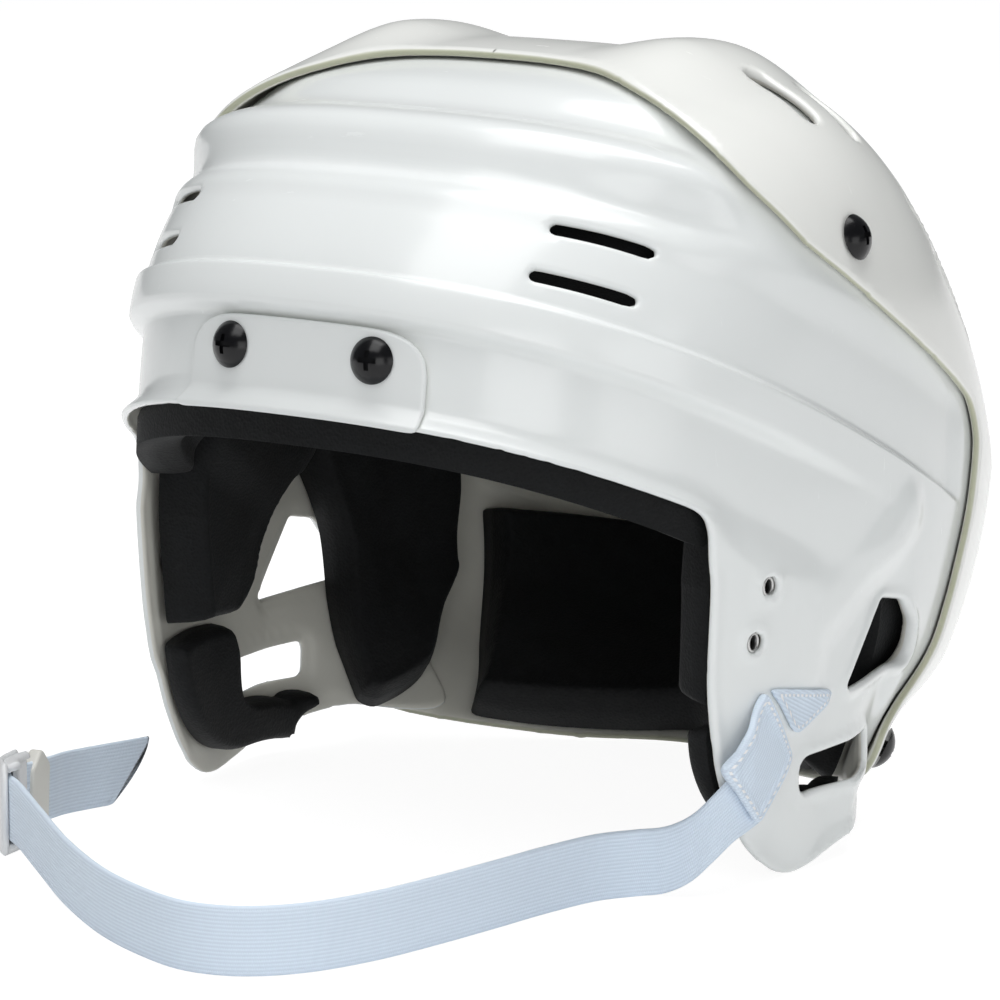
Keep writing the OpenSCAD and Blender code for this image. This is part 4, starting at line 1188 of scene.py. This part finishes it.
class HELMET_OT_fittings(bpy.types.Operator):
    """Buckle, adjuster, visor hole inserts, and the finishes of the screws and nuts"""
    bl_idname = "helmet.fittings"
    bl_label = "Finish the fittings"

    def execute(self, context):
        colours = context.scene.helmet_colours
        lacquer, zinc = screw_finish(colours), nut_finish(colours)
        for place in ("brow", "side", "rear"):
            paint(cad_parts["rear_bolts" if place == "rear" else f"{place}_screws"], lacquer)
            paint(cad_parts[f"{place}_nuts"], zinc)
        buckle = add_mesh("hook_buckle", *hook_buckle())
        settle(buckle, "strap_body",
               plastic_finish("white_buckle_plastic", tuple(colours.buckle), 0.3), ["strap_buckle"])
        along = SLIDER_AXIS / np.linalg.norm(SLIDER_AXIS)
        up = np.array([0.0, 0.0, 1.0]) - along * along[2]
        up /= np.linalg.norm(up)
        plate = slab(SLIDER_AT + 3 * along, along, up, ADJUSTER, ADJUSTER_T, ADJUSTER_BEVEL)
        adjuster = add_mesh("strap_adjuster", *plate)
        settle(adjuster, "slider_body",
               plastic_finish("milky_adjuster_plastic", tuple(colours.adjuster), 0.35), ["strap_slider"])
        rings = []
        for y, z in VISOR_HOLES:
            level = z + SLOPE * y
            turn = turn_at(y, level)
            foot = dome(turn, level) + outward(turn, level) * front_relief(turn, level)
            for side in (1, -1):
                rings.append(lathed(foot * [side, 1, 1], (side, 0, 0), INSERT))
        inserts = add_mesh("visor_hole_inserts", *joined(rings))
        settle(inserts, "shell_body", zinc, ["visor_inserts"])
        return {"FINISHED"}


AZIMUTH, ELEVATION = 34.0, 11.3
CAMERA_DISTANCE, LENS = 1.5, 184.8
LOOK_AT = (-0.0098, 0.0, 0.0914)
# Name, place and size in metres, and power in watts. All lamps aim at LAMP_AIM.
LAMPS = (
    ("top_softbox", (0.0, 0.2, 1.8), 1.2, 18),
    ("front_softbox", (0.1, -0.9, 1.8), 1.2, 14.5),
    ("side_softbox", (1.9, -0.3, 0.2), 1.0, 5),
    ("low_softbox", (1.1, -1.5, 0.3), 1.0, 6.5))
LAMP_AIM = (0, 0, 0.1)
WHITE = (1, 1, 1, 1)
SKY, SKY_STRENGTH = (0.93, 0.97, 1.0, 1), 0.14
FLOOR_HALF, FLOOR_Z, FLOOR_POINTS = 4000.0, -0.05, 41
# The floor is mixed with an even glow. Cameras, reflections and clear plastic see more of it.
FLOOR_GLOW, GLOW_SHARE, GLOW_SEEN = 1.33, 0.08, 0.62


class HELMET_OT_stage(bpy.types.Operator):
    """White floor, soft studio lamps and the camera"""
    bl_idname = "helmet.stage"
    bl_label = "Build the stage"

    def execute(self, context):
        scene = context.scene
        colours = scene.helmet_colours
        self.floor(colours)
        self.camera(scene)
        self.lamps(scene)
        scene.view_settings.view_transform = "Standard"
        return {"FINISHED"}

    def floor(self, colours):
        """One sheet that is flat under the helmet"""
        s = np.linspace(-1, 1, FLOOR_POINTS) * FLOOR_HALF
        x, y = np.meshgrid(s, s)
        points = np.stack([x, y, np.full_like(x, FLOOR_Z)], -1).reshape(-1, 3)
        floor = add_mesh("studio_floor", points, grid_triangles(FLOOR_POINTS, FLOOR_POINTS))
        f = Finish("white_studio_floor")
        white = tuple(colours.floor)
        f.set(Base_Color=f.mix(f.noise(30, 3), shade(white, 0.995), white), Roughness=0.7)
        glow = f.node("ShaderNodeEmission", inputs={"Color": WHITE, "Strength": FLOOR_GLOW})
        seen = f.rays("Camera").math("MAXIMUM", f.rays("Glossy")).math("MAXIMUM", f.rays("Transmission"))
        blend = f.node("ShaderNodeMixShader", inputs={
            0: seen * GLOW_SEEN + GLOW_SHARE, 1: f.surface.outputs[0], 2: glow})
        f.put(f.nodes["Material Output"].inputs["Surface"], blend)
        floor.data.materials.append(f.material)

    def camera(self, scene):
        a, e = math.radians(AZIMUTH), math.radians(ELEVATION)
        back = Vector((math.sin(a) * math.cos(e), -math.cos(a) * math.cos(e), math.sin(e)))
        lens = bpy.data.cameras.new("camera")
        lens.lens = LENS
        lens.sensor_width = 36
        lens.clip_end = 100
        camera = bpy.data.objects.new("camera", lens)
        camera.location = Vector(LOOK_AT) + back * CAMERA_DISTANCE
        camera.rotation_euler = back.to_track_quat("Z", "Y").to_euler()
        scene.collection.objects.link(camera)
        scene.camera = camera

    def lamps(self, scene):
        world = bpy.data.worlds.new("studio")
        scene.world = world
        world.use_nodes = True
        tree = Tree(world.node_tree)
        sky = tree.nodes["Background"]
        sky.inputs["Color"].default_value = SKY
        sky.inputs["Strength"].default_value = SKY_STRENGTH
        white = tree.node("ShaderNodeBackground", inputs={"Color": WHITE})
        blend = tree.node("ShaderNodeMixShader", inputs={
            0: tree.rays("Camera"), 1: sky.outputs[0], 2: white})
        tree.put(tree.nodes["World Output"].inputs["Surface"], blend)
        for name, place, size, watts in LAMPS:
            lamp = bpy.data.lights.new(name, "AREA")
            lamp.shape = "SQUARE"
            lamp.size = size
            lamp.energy = watts
            piece = bpy.data.objects.new(name, lamp)
            piece.location = place
            aim = Vector(place) - Vector(LAMP_AIM)
            piece.rotation_euler = aim.to_track_quat("Z", "Y").to_euler()
            scene.collection.objects.link(piece)


class HELMET_PT_panel(bpy.types.Panel):
    bl_label = "Ice hockey helmet"
    bl_idname = "HELMET_PT_panel"
    bl_space_type = "VIEW_3D"
    bl_region_type = "UI"
    bl_category = "Helmet"

    def draw(self, context):
        for group in (context.scene.helmet_sizes, context.scene.helmet_colours):
            for key in group.__annotations__:
                self.layout.prop(group, key)
        for operator in OPERATORS:
            self.layout.operator(operator.bl_idname)


OPERATORS = (HELMET_OT_stage, HELMET_OT_shells, HELMET_OT_brow_plate, HELMET_OT_foam, HELMET_OT_strap,
             HELMET_OT_fittings)
CLASSES = (HelmetSizes, HelmetColours, *OPERATORS, HELMET_PT_panel)


def register():
    for kind in CLASSES:
        bpy.utils.register_class(kind)
    bpy.types.Scene.helmet_sizes = PointerProperty(type=HelmetSizes)
    bpy.types.Scene.helmet_colours = PointerProperty(type=HelmetColours)


def unregister():
    del bpy.types.Scene.helmet_colours
    del bpy.types.Scene.helmet_sizes
    for kind in reversed(CLASSES):
        bpy.utils.unregister_class(kind)


def main():
    register()
    bpy.ops.helmet.stage()
    bpy.ops.helmet.shells()
    bpy.ops.helmet.brow_plate()
    bpy.ops.helmet.foam()
    bpy.ops.helmet.strap()
    bpy.ops.helmet.fittings()


if __name__ == "__main__":
    main()
